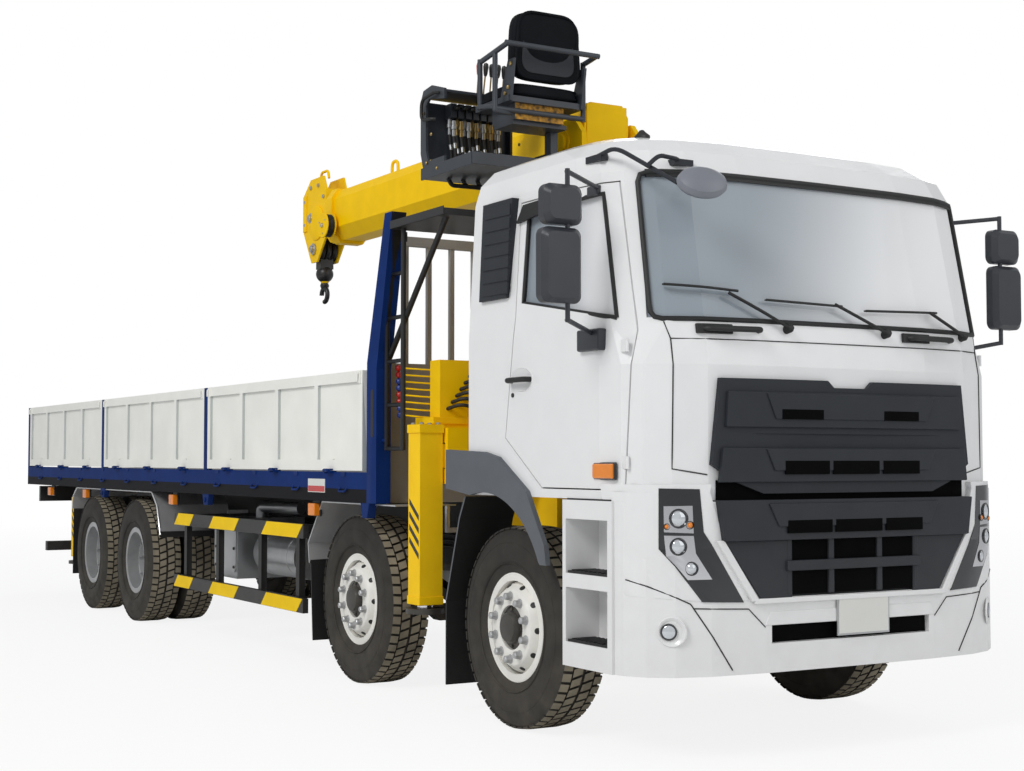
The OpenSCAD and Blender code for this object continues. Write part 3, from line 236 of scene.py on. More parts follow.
def soften(o, width):
    """Rounds the sharp edges a little."""
    md = o.modifiers.new("soft_edges", "BEVEL")
    md.width = width
    md.segments = 2
    md.limit_method = "ANGLE"
    md.angle_limit = math.radians(40)
    md.harden_normals = True


def board_rule(c, n):
    """Painted shade in grey on the walls of a board's panel recesses, its hinges in navy."""
    if abs(c.y) > 1.2505 or c.z < 1.37:
        return 2
    # painted shade: the recesses' side walls and undersides take the grey
    painted_shade_wall = abs(n.x) > 0.9 or n.z < -0.9
    return painted_shade_wall and 1.225 < abs(c.y) < 1.249 and 1.43 < c.z < 1.95


def deck_rule(c, n):
    """Worn floor, black bearers, navy sill with painted shade along its lower part."""
    if n.z > 0.9 and abs(c.y) < 1.15 and abs(c.z - 1.35) < 0.002:
        return 2
    return abs(c.y) < 1.15 and c.z < 1.349 and c.x > -5.89


def mudguard_rule(c, n):
    """Grey arch faces, black flaps, bright rear guards."""
    if c.x > 3.4 and abs(c.y) > 1.2 and abs(n.y) > 0.9 and c.z > 0.6:
        return 2
    return c.x > 3.4 or (c.x > 1.6 and c.z < 0.765)


def head_rule(c, n):
    """Navy posts, black platform and ladder, grey plate and stakes."""
    ladder = c.y < 0 and c.x > A1 - 1.46 and abs(abs(c.y) - 1.2) < 0.02
    if abs(c.y) > 1.149 and c.x < A1 - 1.28 and not ladder:
        return 1
    return 2 if c.x > A1 - 1.565 and (c.z > 2.84 or c.y < -1.1) else 0


def hub_rule(x):
    """Black hub in the middle of a wheel."""
    return lambda c, n: math.hypot(c.x - x, c.z - TR) < 0.118


BOARDS = [f"board_{i}_{s}" for _, s in SIDES for i in (1, 2, 3)]
PAINTED = ((YELLOW, "crane_column boom_1 boom_2 boom_3 boom_4 lift_barrel crane_base"),
           (YELLOW, "outrigger_right outrigger_left"), (WHITE, "bumper_panels cab_shell"), (TANK, "tanks"),
           (BEZEL, "lamps"), (GLASS, "cab_glass"), (CABIN, "cab_interior"), (CHROME, "lift_rod"),
           (HUB, "hook"), (STATION, "seat"), (CREAM, "tailgate"), (IRON, "running_gear"),
           (BLACKP, "chassis_frame"))
SOFTENED = ((0.003, "headboard bed_deck"), (0.008, "bumper_panels"), (0.02, "tanks cab_interior"),
            (0.006, "crane_base crane_column outrigger_right outrigger_left"), (0.005, "boom_1"),
            (0.004, "cab_shell cab_trim door_right door_left boom_2 boom_3 boom_4 operator_station"),
            (0.004, " ".join(["tailgate", *BOARDS])))

for m, names in PAINTED:
    for name in names.split():
        finish(name, m)
for name in BOARDS:
    finish(name, CREAM, PANEL_PAINTED_SHADE, NAVY, rule=board_rule)
for _, s in SIDES:
    for i in (1, 2):
        finish(f"knuckle_{i}_{s}", IRON)
    for i, x, m in ((1, A1, WHEELC), (2, A2, WHEELC), (3, A3, WHEELS), (4, A4, WHEELS)):
        finish(f"tyre_{i}_{s}", RUBBER)
        finish(f"wheel_{i}_{s}", m, HUB, rule=hub_rule(x))
    finish(f"jack_{s}", CHROME, HUB, rule=lambda c, n: c.z < 0.575)
    finish(f"rear_jack_{s}", CHROME, HUB, rule=lambda c, n: c.z < 0.425)
    finish(f"door_{s}", WHITE, SHADE, rule=lambda c, n: abs(c.y) > 1.235)
finish("cab_trim", PLASTIC, ARCH, rule=lambda c, n: abs(c.y) > 1.0 and c.z < 1.75 and c.x < A1 + 1.1)
finish("bed_deck", SILL_PAINTED_SHADE, BLACKP, DECK, rule=deck_rule)
finish("operator_station", STATION, SUSP,
       rule=lambda c, n: n.x > 0.9 and abs(c.x - 3.895) < 0.003 and 3.46 < c.z < 3.57)
finish("mudguards", STEEL, GASKET, ARCH, rule=mudguard_rule)
finish("spare_wheel", RUBBER, WHEELS, rule=lambda c, n: math.hypot(c.x - SPARE[0], c.y - SPARE[1]) < 0.27)
finish("headboard", GREY, NAVY, BLACKP, rule=head_rule)
for o in nodes.values():
    smooth(o, 30)
for width, names in SOFTENED:
    for name in names.split():
        soften(nodes[name], width)


# Mesh helpers

def add_object(name, data):
    """Links a new object to the scene."""
    o = bpy.data.objects.new(name, data)
    SC.collection.objects.link(o)
    return o


class Mesh:
    """Collects forms and makes them one piece."""

    def __init__(self):
        self.v, self.f, self.m = [], [], []

    def add(self, verts, faces, mi=0, at=None):
        k = len(self.v)
        self.v += [tuple(at @ Vector(p)) if at else tuple(p) for p in verts]
        self.f += [tuple(i + k for i in q) for q in faces]
        self.m += [mi] * len(faces)

    def box(self, a, b, mi=0):
        x0, y0, z0 = [min(p, q) for p, q in zip(a, b)]
        x1, y1, z1 = [max(p, q) for p, q in zip(a, b)]
        v = [(x0, y0, z0), (x1, y0, z0), (x1, y1, z0), (x0, y1, z0), (x0, y0, z1), (x1, y0, z1), (x1, y1, z1),
             (x0, y1, z1)]
        self.add(v, [(3, 2, 1, 0), (4, 5, 6, 7), (0, 1, 5, 4), (1, 2, 6, 5), (2, 3, 7, 6), (3, 0, 4, 7)], mi)

    def turn(self, profile, at, mi=0, n=32, cap=True):
        """Revolves (radius, height) points about local Z."""
        v, f = [], []
        for r, h in profile:
            for i in range(n):
                t = 2 * math.pi * i / n
                v.append((r * math.cos(t), r * math.sin(t), h))
        for k in range(len(profile) - 1):
            for i in range(n):
                j = (i + 1) % n
                f.append((k * n + i, k * n + j, (k + 1) * n + j, (k + 1) * n + i))
        if cap:
            f.append(tuple(reversed(range(n))))
            f.append(tuple(range((len(profile) - 1) * n, len(profile) * n)))
        self.add(v, f, mi, at)

    def tube(self, pts, r, mi=0, n=10):
        """A round tube along points, with smooth frames."""
        pts = [Vector(p) for p in pts]
        v, f = [], []
        up = None
        for i, p in enumerate(pts):
            d = (pts[min(i + 1, len(pts) - 1)] - pts[max(i - 1, 0)]).normalized()
            if up is None:
                up = d.orthogonal().normalized()
            up = (up - d * up.dot(d)).normalized()
            sd = d.cross(up)
            for k in range(n):
                t = 2 * math.pi * k / n
                v.append(p + up * (r * math.cos(t)) + sd * (r * math.sin(t)))
        for i in range(len(pts) - 1):
            for k in range(n):
                j = (k + 1) % n
                f.append((i * n + k, i * n + j, (i + 1) * n + j, (i + 1) * n + k))
        f.append(tuple(reversed(range(n))))
        f.append(tuple(range((len(pts) - 1) * n, len(pts) * n)))
        self.add(v, f, mi)

    def pipe(self, corners, bend_radius, r, mi=0, n=10, steps=5):
        """A round tube along a polyline with rounded corners."""
        self.tube(bend(corners, bend_radius, steps), r, mi, n)

    def bolt(self, at, r, h, tip, mi):
        """A hexagonal bolt head; the tip is the radius and height of its chamfer."""
        self.turn([(r, 0), (r, h), tip], at, mi, 6)

    def sheet(self, outline, axis, a, b, mi=0):
        """A flat outline (two coordinates) drawn out along x or y from a to b."""
        n = len(outline)
        v = [(t, *p) if axis == "x" else (p[0], t, p[1]) for t in (a, b) for p in outline]
        f = [tuple(range(n)), tuple(reversed(range(n, 2 * n)))]
        f += [(i, i + n, (i + 1) % n + n, (i + 1) % n) for i in range(n)]
        self.add(v, f, mi)

    def make(self, name, mats, bevel=0.0, slot=None, auto=35, body="carrier"):
        """Makes the collected forms one object that rides on a body."""
        me = bpy.data.meshes.new(name)
        me.from_pydata(self.v, [], self.f)
        for m in mats:
            me.materials.append(m)
        me.polygons.foreach_set("material_index", self.m)
        bm = bmesh.new()
        bm.from_mesh(me)
        bmesh.ops.recalc_face_normals(bm, faces=bm.faces)
        bm.to_mesh(me)
        bm.free()
        o = add_object(name, me)
        smooth(o, auto)
        if bevel:
            soften(o, bevel)
        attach(o, body)
        return o


def bend(points, r=0.03, n=5):
    """A polyline with rounded corners."""
    pts = [Vector(p) for p in points]
    out = [pts[0]]
    for i in range(1, len(pts) - 1):
        a, b, c = pts[i - 1], pts[i], pts[i + 1]
        d0, d1 = (a - b), (c - b)
        k = min(r, d0.length * 0.45, d1.length * 0.45)
        p, q = b + d0.normalized() * k, b + d1.normalized() * k
        for j in range(n + 1):
            t = j / n
            out.append(p * (1 - t) ** 2 + b * 2 * t * (1 - t) + q * t * t)
    out.append(pts[-1])
    return out


def axis_matrix(place, direction):
    """A frame at a place, with its Z along a direction."""
    return Matrix.Translation(place) @ Vector(direction).to_track_quat("Z", "Y").to_matrix().to_4x4()


def tipped(place, degrees):
    """A turn about the line along Y through a place."""
    there = Matrix.Translation(place)
    return there @ Matrix.Rotation(math.radians(degrees), 4, "Y") @ there.inverted()


# Floor, light and camera

PHOTO_WIDTH, FOCAL = 1024, 1570.04               # pixels of the photograph
EYE = (A1 + 7.3107, -5.4621, 1.4473)
YAW, PITCH = math.radians(30.519), math.radians(2.675)
SENSOR = 36.0
LIGHTS = (("key", (10, -17, 15), 7, 2120), ("fill", (15, 5, 8), 10, 340), ("back", (-10, 14, 12), 10, 600))


def aim(o, place, direction):
    """Puts a light or a camera at a place and turns it."""
    o.location = place
    o.rotation_euler = direction.to_track_quat("-Z", "Y").to_euler()


def mix_surface(tree, share, a, b, output):
    """Mixes two shaders into an output."""
    mix = node(tree, "MixShader", ("Fac", share), (1, a), (2, b))
    tree.links.new(mix.outputs["Shader"], tree.nodes[output].inputs["Surface"])


def stage_set():
    """Floor, world, lights and camera."""
    # a pale floor that fades to white away from the object
    me = bpy.data.meshes.new("floor")
    bm = bmesh.new()
    bmesh.ops.create_grid(bm, x_segments=1, y_segments=1, size=90)
    bm.to_mesh(me)
    bm.free()
    floor = add_object("floor", me)
    m = mat("pale_floor", (0.88, 0.88, 0.88), 0.85, spread=0.01, spec=0.2)
    t = m.node_tree
    place = node(t, "NewGeometry").outputs["Position"]
    far = node(t, "VectorMath", (0, place), operation="LENGTH").outputs["Value"]
    camera_ray = node(t, "LightPath").outputs["Is Camera Ray"]
    seen = calc(t, "MULTIPLY", span(t, far, 7.0, 24.0, 0.86, 1.0), camera_ray)
    mix_surface(t, seen, t.nodes["Principled BSDF"].outputs["BSDF"], node(t, "Emission").outputs["Emission"],
                "Material Output")
    me.materials.append(m)
    # white behind the object, a softer light on it
    w = bpy.data.worlds.new("studio")
    SC.world = w
    w.use_nodes = True
    t = w.node_tree
    soft = t.nodes["Background"]
    soft.inputs["Color"].default_value = (0.96, 0.98, 1.0, 1)
    soft.inputs["Strength"].default_value = 0.5
    plain = node(t, "Background", ("Color", BRIGHT), ("Strength", 1.0))
    path = node(t, "LightPath").outputs
    seen = calc(t, "MAXIMUM", path["Is Camera Ray"], path["Is Transmission Ray"])
    mix_surface(t, seen, soft.outputs["Background"], plain.outputs["Background"], "World Output")
    for name, place, size, power in LIGHTS:
        light = bpy.data.lights.new(name, "AREA")
        light.energy = power
        light.size = size
        aim(add_object(name, light), place, Vector((1, 0, 1.2)) - Vector(place))
    SC.view_settings.view_transform = "Standard"
    cam = bpy.data.cameras.new("camera")
    cam.sensor_fit = "HORIZONTAL"
    cam.sensor_width = SENSOR
    cam.lens = FOCAL / PHOTO_WIDTH * SENSOR
    cam.clip_end = 500
    SC.camera = add_object("camera", cam)
    look = Vector((-math.cos(YAW) * math.cos(PITCH), math.sin(YAW) * math.cos(PITCH), math.sin(PITCH)))
    aim(SC.camera, EYE, look)


stage_set()

# The cab's front surface, as the solids have it

CURVE = [(0, 0), (0.45, 8), (0.7, 35), (0.84, 90), (0.93, 170), (0.98, 270), (1, 420)]
ROWS = [(1250, 1370, 1220, 1), (1900, 1370, 1220, 1), (2100, 1355, 1220, 1.25), (2860, 1200, 1190, 1.15),
        (2970, 1140, 1165, 1.15), (3050, 1030, 1100, 1.4), (3100, 850, 980, 1.2), (3115, 500, 800, 0.9)]


def bow_at(f):
    """How far the cab's plan falls back at a share of its half width, in mm."""
    f = min(abs(f), 1)
    for a, b in zip(CURVE, CURVE[1:]):
        if f <= b[0]:
            return a[1] + (b[1] - a[1]) * (f - a[0]) / (b[0] - a[0])
    return 420


def cab_x(y, z):
    """The cab's front at y and z."""
    z = min(max(z * 1000, 1250), 3115)
    for a, b in zip(ROWS, ROWS[1:]):
        if z <= b[0]:
            t = (z - a[0]) / (b[0] - a[0])
            xf, w, bow = [a[i] + (b[i] - a[i]) * t for i in (1, 2, 3)]
            break
    return A1 + (xf - bow * bow_at(y * 1000 / w)) / 1000


def bumper_x(y, z=0):
    """The bumper's front at y, at any height."""
    return BUMPER - bow_at(y / 1.23) / 1000


def cab_y(x, z):
    """Half width of the cab at x and z."""
    lo, hi = 0.5, 1.22
    for _ in range(30):
        m = (lo + hi) / 2
        if cab_x(m, z) > x:
            lo = m
        else:
            hi = m
    return lo


def patch(me, quad, t0, t1, face=cab_x, nu=14, nv=2, mi=0):
    """A four-cornered plate (y, z) on a curved face, from depth t0 to t1 before it."""
    (a, b, c, d) = [Vector((q[0], q[1])) for q in quad]
    v, f = [], []
    for t in (t1, t0):
        for j in range(nv + 1):
            for i in range(nu + 1):
                p = a.lerp(b, i / nu).lerp(d.lerp(c, i / nu), j / nv)
                v.append((face(p.x, p.y) + t, p.x, p.y))
    w, k = nu + 1, (nu + 1) * (nv + 1)
    for j in range(nv):
        for i in range(nu):
            q = (j * w + i, j * w + i + 1, (j + 1) * w + i + 1, (j + 1) * w + i)
            f.append(q)
            f.append(tuple(reversed([s + k for s in q])))
    rim = [*range(w), *[j * w + nu for j in range(1, nv + 1)],
           *[nv * w + i for i in range(nu - 1, -1, -1)], *[j * w for j in range(nv - 1, 0, -1)]]
    for p, q in zip(rim, rim[1:] + rim[:1]):
        f.append((p, p + k, q + k, q))
    me.add(v, f, mi)


def rect(y0, z0, y1, z1):
    """An upright plate from its lower to its upper corner."""
    return [(y0, z1), (y1, z1), (y1, z0), (y0, z0)]


def keystone(top, z1, bottom, z0):
    """A symmetrical plate, by its half widths."""
    return [(-top, z1), (top, z1), (bottom, z0), (-bottom, z0)]


def facing(q, forward):
    """Turns a quad over, so that it faces the same way on both sides."""
    return q if forward else [q[1], q[0], q[3], q[2]]


def face_line(pts, off, face=cab_x, step=0.06):
    """Points along a (y, z) line on the front face."""
    out = []
    for (a, b) in zip(pts, pts[1:]):
        n = max(1, int(math.hypot(b[0] - a[0], b[1] - a[1]) / step))
        for i in range(n):
            y, z = a[0] + (b[0] - a[0]) * i / n, a[1] + (b[1] - a[1]) * i / n
            out.append((face(y, z) + off, y, z))
    out.append((face(*pts[-1]) + off, *pts[-1]))
    return out


def cab_front():
    """Grille, seams, screen rubber, wipers, handles, lamps and the small mirror."""
    g = Mesh()
    # three raised bars and their inner panels
    patch(g, keystone(0.768, 1.772, 0.78, 1.6), 0.02, 0.046)
    patch(g, keystone(0.555, 1.766, 0.5, 1.64), 0.044, 0.054)
    patch(g, keystone(0.8, 1.5, 0.82, 1.335), 0.02, 0.048)
    patch(g, keystone(0.56, 1.496, 0.51, 1.39), 0.046, 0.056)
    patch(g, keystone(0.838, 1.25, 0.806, 1.055), -0.034, 0.034, bumper_x)
    for s in (-1, 1):
        q = [(s * 0.795, 1.056), (s * 0.4, 1.056), (s * 0.4, 0.776), (s * 0.592, 0.776)]
        patch(g, facing(q, s < 0), -0.012, 0.012, bumper_x, 8, 4)
    patch(g, keystone(0.56, 1.232, 0.5, 1.12), 0.03, 0.042, bumper_x)
    patch(g, keystone(0.44, 0.955, 0.44, 0.905), -0.01, 0.028, bumper_x)
    for y in (-0.155, 0.165):
        patch(g, rect(y - 0.018, 0.79, y + 0.018, 1.06), -0.02, 0.016, bumper_x, 2, 2)
    for y in (-0.42, 0.42):
        patch(g, rect(y - 0.014, 0.79, y + 0.014, 1.06), -0.02, 0.014, bumper_x, 2, 2)
    g.make("grille_bars", [PLASTIC], 0.006, "trim_grey")
    # black sheets in the grille's slots and the gaps by the bumper, painted shade for the openings
    d = Mesh()
    for y0, y1 in ((-0.465, -0.205), (0.198, 0.44)):
        patch(d, rect(y0, 1.64, y1, 1.688), 0.05, 0.0555, nu=4, nv=1)
    for y0, y1 in ((-0.449, -0.171), (-0.147, 0.159), (0.187, 0.44)):
        patch(d, rect(y0, 1.372, y1, 1.438), 0.052, 0.0575, nu=4, nv=1)
        patch(d, rect(y0, 1.088, y1, 1.15), 0.036, 0.0435, bumper_x, nu=4, nv=1)
    patch(d, rect(-0.43, 0.79, 0.43, 1.05), -0.03, 0.004, bumper_x)
    patch(d, rect(-0.815, 1.246, 0.815, 1.345), -0.02, 0.01)
    patch(d, rect(-0.515, 0.562, 0.515, 0.65), -0.034, -0.031, lambda y, z: BUMPER)
    d.make("grille_openings", [VOID_PAINTED_SHADE], 0, "trim_grey")
    # bright frame of the lower grille
    fr = Mesh()
    for s in (-1, 1):
        q = [(s * 0.8, 1.06), (s * 0.846, 1.06), (s * 0.645, 0.765), (s * 0.6, 0.765)]
        patch(fr, facing(q, s > 0), -0.01, 0.02, bumper_x, 4, 8)
    patch(fr, rect(-0.63, 0.752, 0.63, 0.778), -0.01, 0.02, bumper_x)
    patch(fr, keystone(0.535, 0.712, 0.56, 0.646), -0.034, 0.004, bumper_x)
    fr.make("grille_frame", [WHITE], 0.005, "cab_white")
    # blank number plate on its holder
    p = Mesh()
    patch(p, rect(-0.118, 0.575, 0.23, 0.77), 0.004, 0.012, bumper_x, 4, 1, 1)
    patch(p, rect(-0.108, 0.585, 0.22, 0.76), 0.01, 0.016, bumper_x, 4, 1, 0)
    p.make("blank_plate", [PLATE, TANK], 0.002)
    # seams of the bumper and the front panel
    sm = Mesh()

    def seam(pts, r, face=cab_x):
        sm.tube(face_line(pts, 0.001, face), r, 0, 6)

    for s in (-1, 1):
        seam([(s * 1.2, 0.875), (s * 0.962, 0.763), (s * 0.748, 0.445)], 0.0035, bumper_x)
        seam([(s * 0.95, 0.742), (s * 0.655, 0.73), (s * 0.56, 0.64)], 0.003, bumper_x)
        seam([(s * 1.037, 2.105), (s * 1.018, 2.02), (s * 1.027, 1.4), (s * 0.86, 1.372)], 0.0035)
    seam([(-1.018, 2.022), (1.018, 2.022)], 0.003)
    sm.make("front_seams", [GASKET], 0, "trim_grey")
    # rubber of the windscreen, wider along the top
    r = Mesh()
    half = [(1.04, 2.119), (1.066, 2.128), (1.079, 2.152), (1.08, 2.19), (1.062, 2.8), (1.05, 2.838),
            (1.02, 2.85)]
    edge = half + [(-y, z) for y, z in reversed(half)] + half[:1]
    r.tube(face_line(edge, 0.0), 0.013, 0, 8)
    patch(r, rect(-1.03, 2.825, 1.03, 2.865), -0.006, 0.006, nu=30)
    r.make("screen_rubber", [GASKET], 0, "trim_grey")
    # three wipers
    for i, (piv, knee, a, b) in enumerate((((-0.379, 2.085), (-0.72, 2.25), (-1.03, 2.285), (-0.66, 2.262)),
                                           ((0.268, 2.085), (-0.07, 2.222), (-0.5, 2.225), (-0.02, 2.215)),
                                           ((0.86, 2.095), (0.6, 2.212), (0.14, 2.2), (0.66, 2.215)))):
        w = Mesh()
        w.turn([(0.022, -0.02), (0.022, 0.02), (0.012, 0.035)],
               axis_matrix((cab_x(*piv) + 0.012, *piv), (1, 0, 0.2)), 0, 14)
        w.tube(face_line([piv, knee], 0.034, step=0.05), 0.0085, 0, 8)
        w.tube(face_line([a, b], 0.026, step=0.05), 0.0065, 0, 8)
        w.tube(face_line([a, b], 0.014, step=0.05), 0.0045, 0, 6)
        w.make(f"wiper_{i + 1}", [GASKET], 0, "trim_grey")
    # two grab handles below the screen
    h = Mesh()
    z = 2.072
    for y0, y1 in ((-0.87, -0.55), (0.42, 0.76)):
        x0, x1 = cab_x(y0, z), cab_x(y1, z)
        h.pipe([(x0 - 0.01, y0, z), (x0 + 0.045, y0 + 0.02, z), (x1 + 0.045, y1 - 0.02, z),
                (x1 - 0.01, y1, z)], 0.03, 0.015)
        patch(h, rect(y0 - 0.03, z - 0.024, y0 + 0.16, z + 0.024), 0.0, 0.02, nu=4)
    h.make("grab_handles", [GASKET], 0.004, "trim_grey")
    # lamps
    for s, n in SIDES:
        # white surround, smoked cover, reflectors and bulbs of a headlamp
        m = Mesh()

        def lamp(t0, t1, mi, *quads):
            for q in quads:
                patch(m, facing([(s * y, z) for y, z in q], s > 0), t0, t1, bumper_x, 6, 3, mi)

        lamp(-0.034, 0.003, 3, [(0.86, 1.326), (1.226, 1.326), (1.226, 1.29), (0.868, 1.29)],
             [(1.094, 1.29), (1.226, 1.29), (1.212, 1.01), (1.096, 1.024)],
             [(1.096, 1.024), (1.212, 1.01), (1.2, 0.8), (0.909, 0.776)],
             [(0.868, 1.29), (0.922, 1.29), (0.902, 1.104), (0.795, 1.06)],
             [(0.795, 1.06), (0.902, 1.104), (0.692, 0.772), (0.655, 0.772)])
        lamp(-0.004, 0.006, 4, [(0.919, 1.304), (1.097, 1.308), (1.098, 1.086), (0.901, 1.102)],
             [(0.901, 1.102), (1.098, 1.086), (1.098, 1.022), (0.85, 1.022)],
             [(0.85, 1.022), (1.098, 1.022), (0.909, 0.772), (0.684, 0.763)])
        lamp(0.002, 0.008, 1, [(0.955, 1.226), (1.08, 1.224), (1.079, 1.102), (0.95, 1.096)],
             [(0.95, 1.084), (1.079, 1.086), (1.071, 0.989), (0.94, 1.001)],
             [(0.94, 1.001), (1.071, 0.989), (0.979, 0.877), (0.863, 0.878)])
        for y, z, rr, k in ((1.02, 1.166, 0.042, 0), (1.068, 1.128, 0.014, 2), (0.967, 1.135, 0.018, 2),
                            (1.022, 1.034, 0.038, 0), (0.96, 0.93, 0.03, 0)):
            at = axis_matrix((bumper_x(y) + 0.006, s * y, z), (1, s * 0.45, 0))
            m.turn([(rr * 1.12, -0.004), (rr * 1.12, 0.004), (rr, 0.006), (rr * 0.86, 0.001)], at, 4, 24)
            m.turn([(rr * 0.84, 0.0), (rr * 0.62, 0.006), (rr * 0.3, 0.01), (0.002, 0.011)], at, k, 24)
        m.make(f"headlamp_inside_{n}", [LENS, CHROME, AMBER, WHITE, BEZEL], 0, "lamp_lens")
        fg = Mesh()
        at = axis_matrix((bumper_x(1.045) - 0.004, s * 1.045, 0.634), (0.8, s * 0.6, 0))
        fg.turn([(0.074, 0.0), (0.068, 0.01), (0.052, 0.004), (0.042, -0.006)], at, 0, 32)
        at = axis_matrix((bumper_x(1.058) - 0.002, s * 1.058, 0.634), (0.8, s * 0.6, 0))
        fg.turn([(0.036, -0.01), (0.034, 0.006), (0.024, 0.012), (0.002, 0.014)], at, 1, 28)
        fg.turn([(0.04, 0.0), (0.04, 0.008), (0.034, 0.008)], at, 2, 28)
        fg.make(f"fog_lamp_{n}", [WHITE, LENS, BEZEL], 0, "lamp_lens")
    # under-view mirror on bent arms at the right of the roof edge
    u = Mesh()
    c = Vector((5.93, -0.935, 2.755))
    near = c + Vector((-0.06, -0.1, 0.0))
    u.pipe([(A1 + 0.8, -1.15, 2.95), (A1 + 1.03, -1.175, 2.965), tuple(near)], 0.07, 0.011)
    u.pipe([(A1 + 1.13, -0.86, 2.905), (A1 + 1.16, -0.9, 2.912), (A1 + 1.225, -1.055, 2.905),
            (A1 + 1.225, -1.12, 2.85)], 0.04, 0.011)
    u.box((A1 + 0.76, -1.172, 2.925), (A1 + 0.9, -1.13, 2.958))
    u.box((A1 + 1.09, -0.91, 2.885), (A1 + 1.16, -0.8, 2.915))
    rings = [(0.02, 0.05), (0.075, 0.045), (0.115, 0.022), (0.125, -0.005), (0.118, -0.02), (0.1, -0.024),
             (0.002, -0.028)]
    at = axis_matrix(c, (0.75, -0.25, 0.62)) @ Matrix.Diagonal((1.0, 0.78, 1.0, 1.0))
    u.turn(rings, at, 1, 36)
    u.make("under_view_mirror", [PLASTIC, MIRROR_SHELL], 0, "trim_grey")
    # aerial foot on the roof's corner
    k = Mesh()
    k.turn([(0.045, -0.02), (0.04, 0.012), (0.022, 0.03), (0.01, 0.045), (0.002, 0.047)],
           Matrix.Translation((A1 + 0.72, -0.8, 3.098)) @ Matrix.Diagonal((1.5, 0.8, 1.0, 1.0)), 0, 20)
    k.make("aerial_foot", [GASKET], 0, "trim_grey")


PRISM = [(0, 1, 2, 3), (7, 6, 5, 4)] + [(i, i + 4, (i + 1) % 4 + 4, (i + 1) % 4) for i in range(4)]


